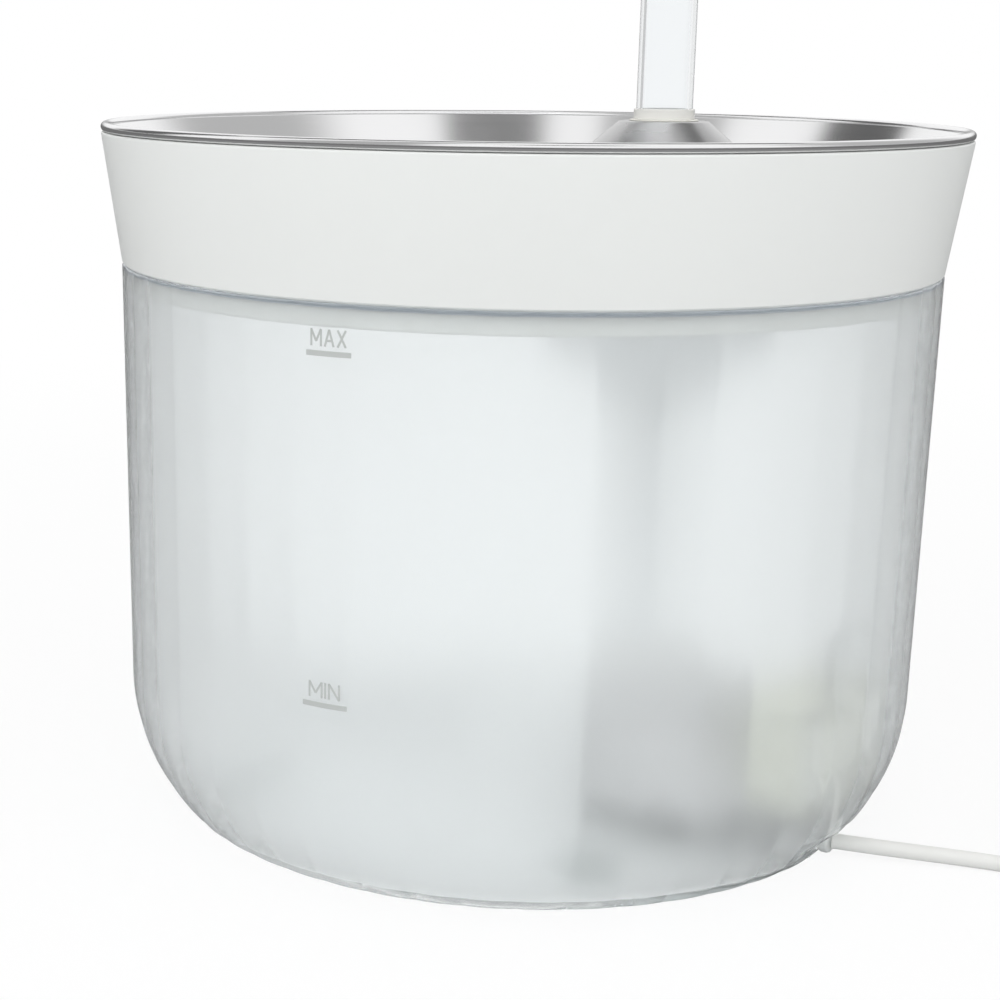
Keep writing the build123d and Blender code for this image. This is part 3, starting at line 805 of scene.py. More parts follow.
@dataclass(frozen=True)
class Clear:
    """Polished clear plastic that lets lamps through, with a faint draw along its length."""

    name: str
    colour: Colour
    roughness: float = 0.02
    index: float = 1.49
    open_share: float = 0.9
    clearness: float = 1.0

    def material(self) -> bpy.types.Material:
        """Builds the finish."""
        material, g = new_material(self.name)
        x, y, z = g.axes()
        draw = g.noise(1.0, 2.0, g.joined(x * 400.0, y * 400.0, z * 30.0))
        g.finish_clear({
            "Base Color": g.mix(draw, shade(self.colour, 0.985), self.colour),
            "Roughness": self.roughness + 0.02 * draw,
            "IOR": self.index,
            "Transmission Weight": self.clearness,
            "Normal": g.bump(draw, 0.000005),
        }, self.colour, self.open_share)
        return material


# The ring's skirt, inside the tank, takes painted shade.
WHITE_RING_SKIRT_SHADE = RingPaintedShadeMoulding("white_moulding", (0.80, 0.815, 0.80), 0.36, 0.0005, 0.000012, 0.02)
WHITE_BASE = Moulding("white_base", (0.78, 0.80, 0.79), 0.5)
CORD_SKIN = Moulding("cord_white", (0.80, 0.80, 0.78), 0.45, 0.0006, 0.00002, 0.05)
PLUG_SKIN = Moulding("plug_white", (0.80, 0.80, 0.79), 0.4, 0.0004, 0.00002)
SEAT_RUBBER = Moulding("white_rubber", (0.78, 0.77, 0.72), 0.55, 0.0004, 0.00003)
SEAT_RING = Clear("ring_white", (0.99, 0.985, 0.96), 0.25, 1.38, 0.8, 0.45)
FOOT_RUBBER = Clear("foot_rubber", (0.90, 0.905, 0.89), 0.45, 1.41, 0.7, 0.7)
SEAL_RUBBER = Moulding("seal_rubber", (0.70, 0.71, 0.70), 0.65, 0.0005, 0.00004, 0.1)
PUMP_SHELL = Moulding("pump_grey", (0.50, 0.505, 0.52), 0.45)
# The hood's lower part takes grey painted shade for the dark pump behind its thin wall.
HOOD_SHELL_PAINTED_SHADE = HoodPaintedShadeMoulding("hood_grey", (0.77, 0.77, 0.765), 0.45, second=(0.56, 0.555, 0.56))
TRAY_SKIN = Clear("tray_clear", (0.98, 0.985, 0.98), 0.2, 1.36, 0.95, 0.95)
PIPE_SHELL = Moulding("pipe_grey", (0.81, 0.82, 0.83), 0.4)
ROTOR_WHITE = Moulding("impeller_white", (0.74, 0.74, 0.72), 0.35)
DARK_SHELL = Moulding("dark_moulding", (0.03, 0.03, 0.033), 0.4)
BOARD_SKIN = Moulding("board", (0.03, 0.16, 0.07), 0.35, 0.0012, 0.00003, 0.3)
MAGNET_SKIN = Moulding("magnet", (0.045, 0.045, 0.05), 0.45, 0.0002, 0.00001, 0.2)
TONGUE_SKIN = Moulding("plug_tongue", (0.75, 0.75, 0.73), 0.4)
MARK_PRINT = Moulding("mark_print", (0.50, 0.52, 0.51), 0.6, 0.0003, 0.00001, 0.06)
GLAND_SKIN = Clear("gland_clear", (0.93, 0.94, 0.93), 0.3, 1.4, 0.8, 0.5)
TUBE_SKIN = Clear("clear_tube", (0.97, 0.983, 0.99))
SCREW_STEEL = Metal("screw_steel", (0.55, 0.55, 0.56), 0.32)
CORE_STEEL = Metal("core_steel", (0.35, 0.35, 0.36), 0.42)
PIN_STEEL = Metal("pin_steel", (0.7, 0.7, 0.71), 0.15)
SHELL_STEEL = Metal("plug_steel", (0.72, 0.72, 0.73), 0.22)
CONTACT_GOLD = Metal("contact_gold", (0.85, 0.62, 0.25), 0.25)
COPPER = Winding("winding_copper", (0.75, 0.33, 0.16))
FILTER_FOAM = Foam("filter_foam", (0.99, 0.99, 0.88), (0.93, 0.93, 0.78))
TANK_WALL = Frosted("frosted_tank", (0.975, 0.995, 0.998), (0.72, 0.78, 0.86), 0.1243,
                    (0.04763, 0.02996), 0.0426)
BOWL_STEEL = SpunSteel("bowl_steel", (0.92, 0.92, 0.925), 0.17, 0.0003, 0.033, 0.0335, 0.27)

NODE_FINISHES = {
    "base_cover": WHITE_BASE, "cover_gasket": SEAL_RUBBER, "cover_screws": SCREW_STEEL,
    "driver_case": DARK_SHELL, "circuit_board": BOARD_SKIN, "stator_core": CORE_STEEL,
    "drive_coils": COPPER, "pump_base": PUMP_SHELL, "chamber_lid": PUMP_SHELL,
    "impeller": ROTOR_WHITE, "rotor_magnet": MAGNET_SKIN, "rotor_shaft": PIN_STEEL,
    "shaft_bushes": ROTOR_WHITE, "pump_cover": HOOD_SHELL_PAINTED_SHADE, "filter_holder": TRAY_SKIN,
    "riser_pipe": PIPE_SHELL, "riser_seal": SEAL_RUBBER, "spout_adapter": PIPE_SHELL,
    "inner_lead": CORD_SKIN, "plug_shell": SHELL_STEEL, "plug_tongue": TONGUE_SKIN,
    "plug_contacts": CONTACT_GOLD,
}


# ---------------------------------------------------------------------------------------------
# The object
# ---------------------------------------------------------------------------------------------


@dataclass
class Tank:
    """Frosted tank: fluted outside, smooth inside, with the dry well, notch and seats below.

    All sizes are millimetres on the object.
    """

    base_z: float = 1.0
    lip_z: float = 125.2
    lip_r: float = 92.0
    draft: float = 0.006
    wall: float = 2.4
    floor: float = 2.6
    corner_r: float = 43.8
    corner_h: float = 28.7
    base_round: float = 0.6
    lip_round: float = 0.5
    lip_rows: int = 6
    flutes: int = 48
    flute_depth: float = 0.24
    flute_steps: int = 12
    first_edge: float = 1.25
    fade_r: Row = (46.0, 66.0)
    rotor_y: float = 46.0
    well_r: float = 18.6
    well_top: float = 19.0
    pad_r: float = 26.6
    cover_r: float = 24.0
    recess_top: float = 3.2
    rib_half: float = 6.0
    rib_top: float = 7.6
    groove_half: float = 2.0
    groove_top: float = 5.0
    notch_y: float = 80.0
    notch_half: float = 16.0
    notch_top: float = 6.5
    notch_depth: float = 12.0
    stem_r: float = 2.4
    stem_length: float = 2.4
    cord_z: float = 3.0
    foot_ring_r: float = 62.0
    foot_seat_r: float = 7.0
    post_ring_r: float = 16.6
    post_r: float = 2.2
    post_bore: float = 1.2
    post_z: float = 2.7

    def profile(self, inset: float, floor_z: float, top_z: float, steps: int) -> np.ndarray:
        """Wall outline from the floor up: the corner's arc, then a line that leans out.

        Args:
            inset: Distance inside the outer face.
            floor_z: Height of the floor's face.
            top_z: Height of the last point.
            steps: Points on the corner's arc, less one.

        Returns:
            Rows of (radius, height).
        """
        lean = math.pi / 2 - math.atan(self.draft)
        corner_z = self.base_z + self.corner_h
        wall_r = self.lip_r - self.draft * (self.lip_z - corner_z)
        cx = wall_r - self.corner_r * math.sin(lean)
        cz = corner_z + self.corner_r * math.cos(lean)
        radius = self.corner_r - inset
        low = math.acos((cz - floor_z) / radius)
        t = np.linspace(low, lean, steps + 1)
        bend = np.stack([cx + radius * np.sin(t), cz - radius * np.cos(t)], 1)
        top = (bend[-1, 0] + self.draft * (top_z - bend[-1, 1]), top_z)
        return np.concatenate([bend, [top]])

    def outer_outline(self) -> np.ndarray:
        """Outer outline, with the base's small round and the lip's rounded edge."""
        line = self.profile(0, self.base_z, self.lip_z, 30)
        start = (line[0, 0] - 6.0, self.base_z)
        head = rounded([start, tuple(line[0]), tuple(line[1])], [self.base_round], steps=4)[:-1]
        wall_rows = np.linspace(line[-2], line[-1] - [0, self.lip_round], 9)[1:]
        centre = (line[-1, 0] - self.lip_round, self.lip_z - self.lip_round)
        edge = arc(centre, self.lip_round, 0, 90, self.lip_rows - 1)[1:]
        inner = np.array([[line[-1, 0] - self.wall + 0.05, self.lip_z]])
        return np.concatenate([head, line[1:-1], wall_rows, edge, inner])

    def flute(self, angle: np.ndarray, radius: np.ndarray) -> np.ndarray:
        """How far the face falls back from its round.

        This is depth * (2u)^2, with u from -1/2 to 1/2 over a flute. The depth grows from nothing
        to full size over the fade's radii.

        Args:
            angle: Angles round the tank.
            radius: Radii of the round.

        Returns:
            Depths of the flute's face.
        """
        pitch = 2 * math.pi / self.flutes
        u = ((angle - math.radians(self.first_edge)) / pitch) % 1.0 - 0.5
        return self.flute_depth * eased(radius, *self.fade_r) * 4 * u * u

    def wall_r(self, angle: np.ndarray, z: np.ndarray) -> np.ndarray:
        """Radius of the fluted face at a height on the straight wall."""
        straight = self.lip_r - self.draft * (self.lip_z - z)
        return straight - self.flute(angle, straight)

    def fluted(self) -> np.ndarray:
        """Grid of the outer face: each row's radius less the flute at its angle.

        On the lip's top the flute shrinks in proportion to the distance from the wall's inside.
        """
        outline = self.outer_outline()
        columns = self.flutes * self.flute_steps
        a = math.radians(self.first_edge) + np.linspace(0, 2 * math.pi, columns, endpoint=False)
        r, z = outline[:, :1], outline[:, 1:]
        on_lip = np.arange(len(r))[:, None] >= len(r) - self.lip_rows
        kept = np.clip((r - (self.lip_r - self.wall)) / self.wall, 0, 1)
        r = r - self.flute(a[None, :], r) * np.where(on_lip, kept, 1.0)
        return np.stack([r * np.cos(a), r * np.sin(a), z + 0 * a], 2)

    def build(self) -> bpy.types.Object:
        """Carves the tank in the order in which its mould is made."""
        deep = self.base_z - 2
        inner_floor = self.base_z + self.floor
        end_y, side = self.notch_y + self.notch_depth, self.notch_half + self.wall
        hollow = self.profile(self.wall, inner_floor, self.lip_z + 4, 26)
        inside = solid("tank_inside", [turned(hollow, 192)], Ends.CAPS)
        pad_top, notch_roof = self.recess_top + self.floor, self.notch_top + self.wall
        rotor_y, notch_y = self.rotor_y, self.notch_y
        for island in (rod(self.pad_r, deep, pad_top, y=rotor_y, columns=128),
                       rod(self.well_r + self.wall, deep, self.well_top, y=rotor_y, columns=128),
                       slab(-self.rib_half, self.rib_half, rotor_y, notch_y, deep, self.rib_top),
                       slab(-side, side, notch_y - self.wall, end_y, deep, notch_roof)):
            carve(inside, [island])
        tank = solid("frosted_tank", [self.fluted()], Ends.CAPS)
        cut_with(tank, inside)
        carve(tank, [rod(self.cover_r + 0.2, deep, self.recess_top, y=rotor_y, columns=128)])
        well_top = self.well_top - self.wall
        well = solid("well", [rod(self.well_r, deep, well_top, y=rotor_y, columns=96)], Ends.CAPS)
        for x, y in ring_of(4, self.post_ring_r, rotor_y):
            carve(well, [rod(self.post_r, self.post_z, self.well_top, x, y, 32)])
            carve(well, [rod(self.post_bore, self.post_z, well_top - 1, x, y, 24)], Cut.JOINED)
        cut_with(tank, well)
        carve(tank, [slab(-self.groove_half, self.groove_half, rotor_y + 10, notch_y + 1,
                          deep, self.groove_top)])
        carve(tank, [slab(-self.notch_half, self.notch_half, notch_y, end_y, deep, self.notch_top)])
        carve(tank, [lying(rod(self.stem_r, notch_y - self.stem_length, notch_y + 0.5, columns=32),
                           self.cord_z)])
        carve(tank, [rod(self.foot_seat_r, deep, self.base_z + 1.0, x, y, 64)
                     for x, y in ring_of(4, self.foot_ring_r)])
        crisp(tank, 9.0)
        return finish_piece(tank, "base", "frosted_tank", TANK_WALL.material(), "tank")


STROKE = tuple[float, float, float, float]


@dataclass
class LevelMarks:
    """MAX and MIN in plain strokes with a bar under each, printed on the tank's wall.

    A letter is a list of strokes (x0, y0, x1, y1) in its own unit box. A word has its first and
    last angle in degrees, its own height and its bar's; a bar has its first and last angle.
    """

    tank: Tank = field(default_factory=Tank)
    stroke: float = 0.42
    thickness: float = 0.07
    sunk: float = 0.02
    height: float = 3.3
    gap: float = 0.055
    bar: float = 1.05
    words: tuple[tuple[str, float, float, float, float], ...] = (
        ("MAX", 3.7, 8.6, 116.9, 115.0), ("MIN", 3.4, 7.9, 46.1, 44.1))
    bars: tuple[Row, ...] = ((3.1, 9.2), (2.5, 8.8))
    letters: dict[str, tuple[STROKE, ...]] = field(default_factory=lambda: {
        "M": ((0, 0, 0, 1), (0, 1, 0.5, 0.28), (0.5, 0.28, 1, 1), (1, 1, 1, 0)),
        "A": ((0, 0, 0.5, 1), (0.5, 1, 1, 0), (0.19, 0.34, 0.81, 0.34)),
        "X": ((0, 0, 1, 1), (0, 1, 1, 0)),
        "I": ((0.5, 0, 0.5, 1),),
        "N": ((0, 0, 0, 1), (0, 1, 1, 0), (1, 0, 1, 1)),
    })
    widths: dict[str, float] = field(default_factory=lambda: {
        "M": 1.0, "A": 0.9, "X": 0.82, "I": 0.14, "N": 0.82})

    def plate(self, x0: float, y0: float, x1: float, y1: float, width: float) -> np.ndarray:
        """One stroke laid on the wall as a closed thin plate.

        The stroke's two long sides run from end to end, half a width off its middle line. Across
        them the grid goes out over the face and back under it, so that rows run along the stroke
        and columns round it. A point (s, h) of arc length and height sits at angle s / r.

        Args:
            x0: Arc length of the stroke's start round the tank.
            y0: Height of its start.
            x1: Arc length of its end.
            y1: Height of its end.
            width: Width of the stroke.

        Returns:
            The plate's grid.
        """
        run = np.array([x1 - x0, y1 - y0])
        length = float(np.hypot(*run))
        along, across = run / length, np.array([-run[1], run[0]]) / length
        t = np.linspace(0, length, max(2, int(length / 0.4) + 2))
        sides = np.array([-1, -0.5, 0, 0.5, 1, 1, 0, -1])
        over = np.array([1, 1, 1, 1, 1, 0, 0, 0])
        flat = (np.array([x0, y0]) + t[:, None, None] * along
                + sides[None, :, None] * across * width / 2)
        angle, z = flat[..., 0] / self.tank.lip_r, flat[..., 1]
        out = self.tank.wall_r(angle, z) - self.sunk + over * self.thickness
        return np.stack([out * np.cos(angle), out * np.sin(angle), z], 2)

    def build(self) -> bpy.types.Object:
        """Lays out both words and their bars."""
        grids: list[np.ndarray] = []
        for (word, *angles, z, bar_z), ends in zip(self.words, self.bars):
            left, right = np.radians(angles) * self.tank.lip_r
            bar_left, bar_right = np.radians(ends) * self.tank.lip_r
            total = sum(self.widths[c] for c in word)
            gap = (right - left) * self.gap
            unit = (right - left - gap * (len(word) - 1)) / total
            for c in word:
                x, wide = left + self.stroke / 2, unit * self.widths[c] - self.stroke
                for x0, y0, x1, y1 in self.letters[c]:
                    grids.append(self.plate(x + x0 * wide, z + y0 * self.height,
                                            x + x1 * wide, z + y1 * self.height, self.stroke))
                left += wide + self.stroke + gap
            middle = bar_z + self.bar / 2
            grids.append(self.plate(bar_left, middle, bar_right, middle, self.bar))
        marks = solid("level_marks", grids, Ends.CAPS)
        crisp(marks, 40.0)
        return finish_piece(marks, "base", "pipe_grey", MARK_PRINT.material())


@dataclass
class Collar:
    """White ring that flares from the tank's lip to the bowl's rim."""

    lip_r: float = 92.0
    lip_z: float = 125.2
    rim_r: float = 96.1
    rim_z: float = 154.0
    wall: float = 1.3
    shelf: float = 2.2
    skirt_z: float = 120.3
    skirt_out: float = 89.2
    skirt_in: float = 87.4

    def build(self) -> bpy.types.Object:
        """Turns the ring's outline, with small moulded rounds on its corners."""
        slope = (self.rim_r - self.lip_r) / (self.rim_z - self.lip_z - 0.5)
        shelf_z = self.lip_z + self.shelf
        inner_top = self.rim_r - self.wall
        inner_low = inner_top - slope * (self.rim_z - shelf_z)
        corners = [(self.lip_r - 0.7, self.lip_z), (self.lip_r, self.lip_z + 0.5),
                   (self.rim_r, self.rim_z), (inner_top, self.rim_z), (inner_low, shelf_z),
                   (self.skirt_in, shelf_z), (self.skirt_in, self.skirt_z),
                   (self.skirt_out, self.skirt_z), (self.skirt_out, self.lip_z)]
        radii = [0.12, 0.3, 0.45, 0.3, 0.4, 0.4, 0.4, 0.4, 0.12]
        ring = solid("flared_ring", [turned(rounded(corners, radii, closed=True, steps=5), 288)])
        crisp(ring, 35.0)
        return finish_piece(ring, "collar", "white_moulding", WHITE_RING_SKIRT_SHADE.material(), "collar_ring")


@dataclass
class Bowl:
    """Steel bowl: floor, wall and rolled rim about the tank's axis, a dome about the spout's."""

    spout_y: float = 33.0
    rim_r: float = 96.1
    rim_z: float = 155.05
    bead: float = 1.0
    sheet: float = 0.8
    floor_z: float = 128.0
    corner: float = 14.0
    slope: float = 63.4
    dome: tuple[Row, ...] = ((7.0, 157.4), (9.6, 157.4), (16.0, 152.0), (27.6, 128.0))
    dome_rounds: tuple[float, ...] = (1.2, 9.0, 4.5)
    dome_foot: float = 33.6
    drain_ring: float = 21.0
    drain_r: float = 2.0

    def build(self) -> bpy.types.Object:
        """Turns one closed outline.

        Across the flat floor the rows' centre goes from the dome's axis to the bowl's, in
        proportion to the radius.
        """
        tip_r = self.rim_r - 1.9 * self.bead
        foot_r = tip_r - (self.rim_z - self.floor_z) / math.tan(math.radians(self.slope))
        upper = rounded([*self.dome, (foot_r, self.floor_z), (tip_r, self.rim_z)],
                        [*self.dome_rounds, self.corner], steps=14)
        flat = int(np.argmax((upper[:, 0] > self.dome_foot) & (upper[:, 1] < self.floor_z + 0.01)))
        rows = np.linspace(upper[flat - 1], upper[flat], 10)[1:-1]
        upper = np.concatenate([upper[:flat], rows, upper[flat:]])
        span = upper[flat + len(rows), 0] - upper[flat - 1, 0]
        share = np.clip((upper[:, 0] - upper[flat - 1, 0]) / span, 0, 1)
        share = np.where(upper[:, 1] > self.floor_z + 0.01, np.round(share), share)
        share[:flat] = 0.0
        centre = self.spout_y * (1 - share)
        lower = offset(upper, self.sheet)
        bead = arc((self.rim_r - self.bead, self.rim_z), self.bead, 189.8, -116.8, 40)
        outline = np.concatenate([upper[:-1], bead, lower[:-1][::-1]])
        centres = np.concatenate([centre[:-1], np.zeros(len(bead)), centre[:-1][::-1]])
        bowl = solid("steel_bowl", [turned(outline, 256, centres)])
        carve(bowl, [rod(self.drain_r, self.floor_z, self.rim_z, x, y, 40)
                     for x, y in ring_of(8, self.drain_ring, self.spout_y, 22.5)])
        crisp(bowl, 30.0)
        return finish_piece(bowl, "dish", "bowl_steel", BOWL_STEEL.material(), "bowl")


@dataclass
class SpoutSeat:
    """Rubber grommet in the dome's hole and the ring that the spout stands in."""

    spout_y: float = 33.0
    tube_r: float = 6.07
    dome_top: float = 157.4
    hole_r: float = 7.0
    grommet_r: float = 8.4
    lip_r: float = 7.4
    drop: float = 2.2
    lip: float = 0.3
    sheet: float = 0.8
    socket_r: float = 6.5
    socket_h: float = 2.2

    def build(self) -> None:
        """Turns both rings about the spout's axis."""
        top, under = self.dome_top, self.dome_top - self.sheet
        foot, lip = top - self.drop, top + self.lip
        corners = [(self.tube_r, foot), (self.grommet_r, foot), (self.grommet_r, under),
                   (self.hole_r, under), (self.hole_r, top), (self.lip_r, top), (self.lip_r, lip),
                   (self.tube_r, lip)]
        radii = [0.2, 0.4, 0.2, 0.1, 0.1, 0.1, 0.15, 0.1]
        grommet = solid("spout_grommet_ring",
                        [turned(rounded(corners, radii, True, 4), 128, self.spout_y)])
        crisp(grommet, 35.0)
        finish_piece(grommet, "dish", "white_rubber", SEAT_RUBBER.material(), "spout_grommet")
        z0 = lip + 0.05
        corners = [(self.tube_r, z0), (self.socket_r, z0), (self.socket_r, z0 + self.socket_h),
                   (self.tube_r, z0 + self.socket_h)]
        radii = [0.08, 0.15, 0.25, 0.08]
        socket = solid("spout_seat_ring",
                       [turned(rounded(corners, radii, True, 5), 128, self.spout_y)])
        crisp(socket, 35.0)
        finish_piece(socket, "spout_seat", "ring_white", SEAT_RING.material(), "spout_socket")


@dataclass
class Spout:
    """Clear tube that rises, turns over in a half circle and ends in a short drop."""

    y: float = 33.0
    outer: float = 6.0
    bore: float = 4.8
    foot_z: float = 106.0
    turn_z: float = 206.0
    bend: float = 17.0
    tip: float = 8.0
    edge: float = 0.25

    def path(self, s: np.ndarray) -> tuple[np.ndarray, np.ndarray]:
        """Centre and sideways direction at arc length s.

        Up to the turn the tube runs straight up; then the angle round the bend is the further
        length over the bend's radius; past half a turn it runs straight down.

        Args:
            s: Arc lengths from the foot.

        Returns:
            Centres (n, 3) and the unit vectors that point away from the bend's centre (n, 3).
        """
        rise = self.turn_z - self.foot_z
        angle = np.clip((s - rise) / self.bend, 0, math.pi)
        up, down = np.minimum(s, rise), np.maximum(s - rise - math.pi * self.bend, 0)
        y = self.y - self.bend + self.bend * np.cos(angle)
        z = self.foot_z + up + self.bend * np.sin(angle) - down
        centre = np.stack([0 * s, y, z], 1)
        away = np.stack([0 * s, np.cos(angle), np.sin(angle)], 1)
        return centre, away

    def build(self) -> bpy.types.Object:
        """Carries a ring along the path, up the outside, over the end and back down the bore."""
        rise, turn = self.turn_z - self.foot_z, math.pi * self.bend
        end = rise + turn + self.tip
        s = np.concatenate([np.linspace(0, rise, 14), rise + np.linspace(0, turn, 49)[1:],
                            np.linspace(rise + turn, end, 4)[1:]])
        outline = rounded([(self.outer, 0), (self.outer, end), (self.bore, end), (self.bore, 0)],
                          [self.edge] * 4, True, 4)
        outside = np.stack([np.full(len(s) - 2, self.outer), s[1:-1]], 1)
        inside = np.stack([np.full(len(s) - 2, self.bore), s[1:-1]], 1)[::-1]
        rows = np.concatenate([outline[:5], outside, outline[5:15], inside, outline[15:]])
        centre, away = self.path(rows[:, 1])
        a = np.linspace(0, 2 * math.pi, 96, endpoint=False)[None, :, None]
        ring = np.cos(a) * away[:, None] + np.sin(a) * np.array([1.0, 0.0, 0.0])
        grid = centre[:, None] + rows[:, :1, None] * ring
        tube = solid("clear_spout", [grid])
        crisp(tube, 40.0)
        return finish_piece(tube, "spout", "clear_tube", TUBE_SKIN.material(), "spout_tube")


@dataclass
class Feet:
    """Four rubber feet with a rounded rim and a shallow dished middle."""

    ring_r: float = 62.0
    radius: float = 6.9
    top: float = 2.0
    round_r: float = 0.5

    def build(self) -> bpy.types.Object:
        """Turns one foot and sets it out four times."""
        outline = rounded([(0.05, 0.35), (3.6, 0.35), (4.2, 0.0), (self.radius, 0.0),
                           (self.radius, self.top), (0.05, self.top)],
                          [0.4, 0.3, self.round_r, 0.15], steps=4)
        foot = turned(outline, 56)
        grids = [foot + np.array([x, y, 0.0]) for x, y in ring_of(4, self.ring_r)]
        feet = solid("rubber_foot_pads", grids, Ends.CAPS)
        crisp(feet, 35.0)
        return finish_piece(feet, "base", "foot_rubber", FOOT_RUBBER.material(), "rubber_feet")


@dataclass
class Sponge:
    """Filter foam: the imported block, swollen and pitted."""

    voxel: float = 0.5
    pit: float = 0.45

    def build(self) -> bpy.types.Object:
        """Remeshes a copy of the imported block, softens its edges and pits its faces."""
        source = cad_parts["filter_sponge"].data.copy()
        source.name = "filter_foam_block"
        block = bpy.data.objects.new("filter_foam_block", source)
        bpy.context.scene.collection.objects.link(block)
        weld = block.modifiers.new("weld", "WELD")
        weld.merge_threshold = 1e-5
        remesh = block.modifiers.new("cells", "REMESH")
        remesh.mode, remesh.voxel_size, remesh.use_smooth_shade = "VOXEL", self.voxel * MM, True
        soften = block.modifiers.new("soften", "SMOOTH")
        soften.factor, soften.iterations = 0.6, 6
        pores = bpy.data.textures.new("pores", "CLOUDS")
        pores.noise_scale, pores.noise_depth = 0.0011, 2
        pitted = block.modifiers.new("pores", "DISPLACE")
        pitted.texture, pitted.texture_coords = pores, "LOCAL"
        pitted.strength, pitted.mid_level = self.pit * MM, 0.75
        bake(block)
        return finish_piece(block, "filter", "filter_foam", FILTER_FOAM.material(), "filter_sponge")


@dataclass
class Cord:
    """White lead: it leaves low at the rear, winds into a put-away coil and ends in its plug."""

    radius: float = 1.75
    exit_y: float = 82.2
    route: tuple[tuple[float, float, float], ...] = (
        (0.0, 82.2, 3.0), (-2.4, 91.0, 2.9), (-7.4, 102.5, 2.3), (-12.2, 115.0, 1.75),
        (-14.8, 127.5, 1.75), (-15.0, 138.5, 1.75))
    centre: Row = (-37.0, 143.0)
    columns: tuple[float, ...] = (22.0, 18.5, 15.0)
    layers: tuple[float, ...] = (1.75, 5.25, 8.75, 12.25)
    per_turn: int = 24
    tail_r: float = 25.9
    tail: tuple[tuple[float, float, float], ...] = (
        (8.0, 2.6, 12.25), (38.0, 0.6, 10.4), (68.0, 0.0, 6.2), (98.0, 0.0, 2.8), (126.0, 0.0, 2.4))
    run_out: float = 12.0
    plug_z: float = 3.9
    climb: Row = (150.0, 200.0)
    shift: Row = (200.0, 260.0)

    def coil(self) -> np.ndarray:
        """Control points of the turns.

        The angle goes on round the coil. Each turn is one column; a smooth step moves it to the
        next column over the shift's angles, and at the end of a layer another lifts it to the next
        layer over the climb's angles. A NURBS of order 3 cuts inside its points by the mean of 1
        and the cosine of half a step, so they stand that much further out.
        """
        step = 360.0 / self.per_turn
        first = math.degrees(math.atan2(self.route[-1][1] - self.centre[1],
                                        self.route[-1][0] - self.centre[0])) + step
        order = []
        for k in range(len(self.layers)):
            order += self.columns if k % 2 == 0 else self.columns[::-1]
        wide = len(self.columns)
        last = 360.0 * (len(order) - 1) + self.tail[0][0] - step / 2
        phi = np.arange(first, last, step)
        radius = np.full_like(phi, order[0])
        height = np.full_like(phi, self.layers[0])
        for k in range(1, len(order)):
            turn = phi - 360 * (k - 1)
            radius += (order[k] - order[k - 1]) * eased(turn, *self.shift)
            if k % wide == 0:
                rise = self.layers[k // wide] - self.layers[k // wide - 1]
                height += rise * eased(turn, *self.climb)
        radius = radius / ((1 + math.cos(math.radians(step / 2))) / 2)
        return self.around(radius, np.radians(phi), height)

    def around(self, radius: np.ndarray, a: np.ndarray, height: np.ndarray) -> np.ndarray:
        """Points at radius, angle and height about the coil's axis."""
        x, y = self.centre
        return np.stack([x + radius * np.cos(a), y + radius * np.sin(a), height], 1)

    def tail_points(self) -> np.ndarray:
        """Control points down round the coil's outside and on to the plug's rear."""
        steps = np.array(self.tail)
        points = self.around(self.tail_r - steps[:, 1], np.radians(steps[:, 0]), steps[:, 2])
        way = math.radians(self.tail[-1][0] + 100)
        end = points[-1] + self.run_out * np.array([math.cos(way), math.sin(way), 0.0])
        end[2] = self.plug_z
        return np.concatenate([points, [end]])

    def build(self, plug: bpy.types.Object) -> bpy.types.Object:
        """Args:
            plug: The plug's grip, which goes with the lead; not used.

        Returns:
            The curve.
        """
        points = np.concatenate([np.array(self.route), self.coil(), self.tail_points()]) * MM
        curve = bpy.data.curves.new("lead", "CURVE")
        curve.dimensions = "3D"
        curve.bevel_depth, curve.bevel_resolution = self.radius * MM, 5
        curve.use_fill_caps = True
        curve.resolution_u = 5
        spline = curve.splines.new("NURBS")
        spline.points.add(len(points) - 1)
        spline.points.foreach_set("co", np.column_stack([points, np.ones(len(points))]).ravel())
        spline.order_u = 3
        spline.use_endpoint_u = True
        lead = bpy.data.objects.new("lead", curve)
        bpy.context.scene.collection.objects.link(lead)
        finish_piece(lead, "base", "cord_white", CORD_SKIN.material(),
                     "power_cord", "cord_coil", "cord_tail")
        return lead


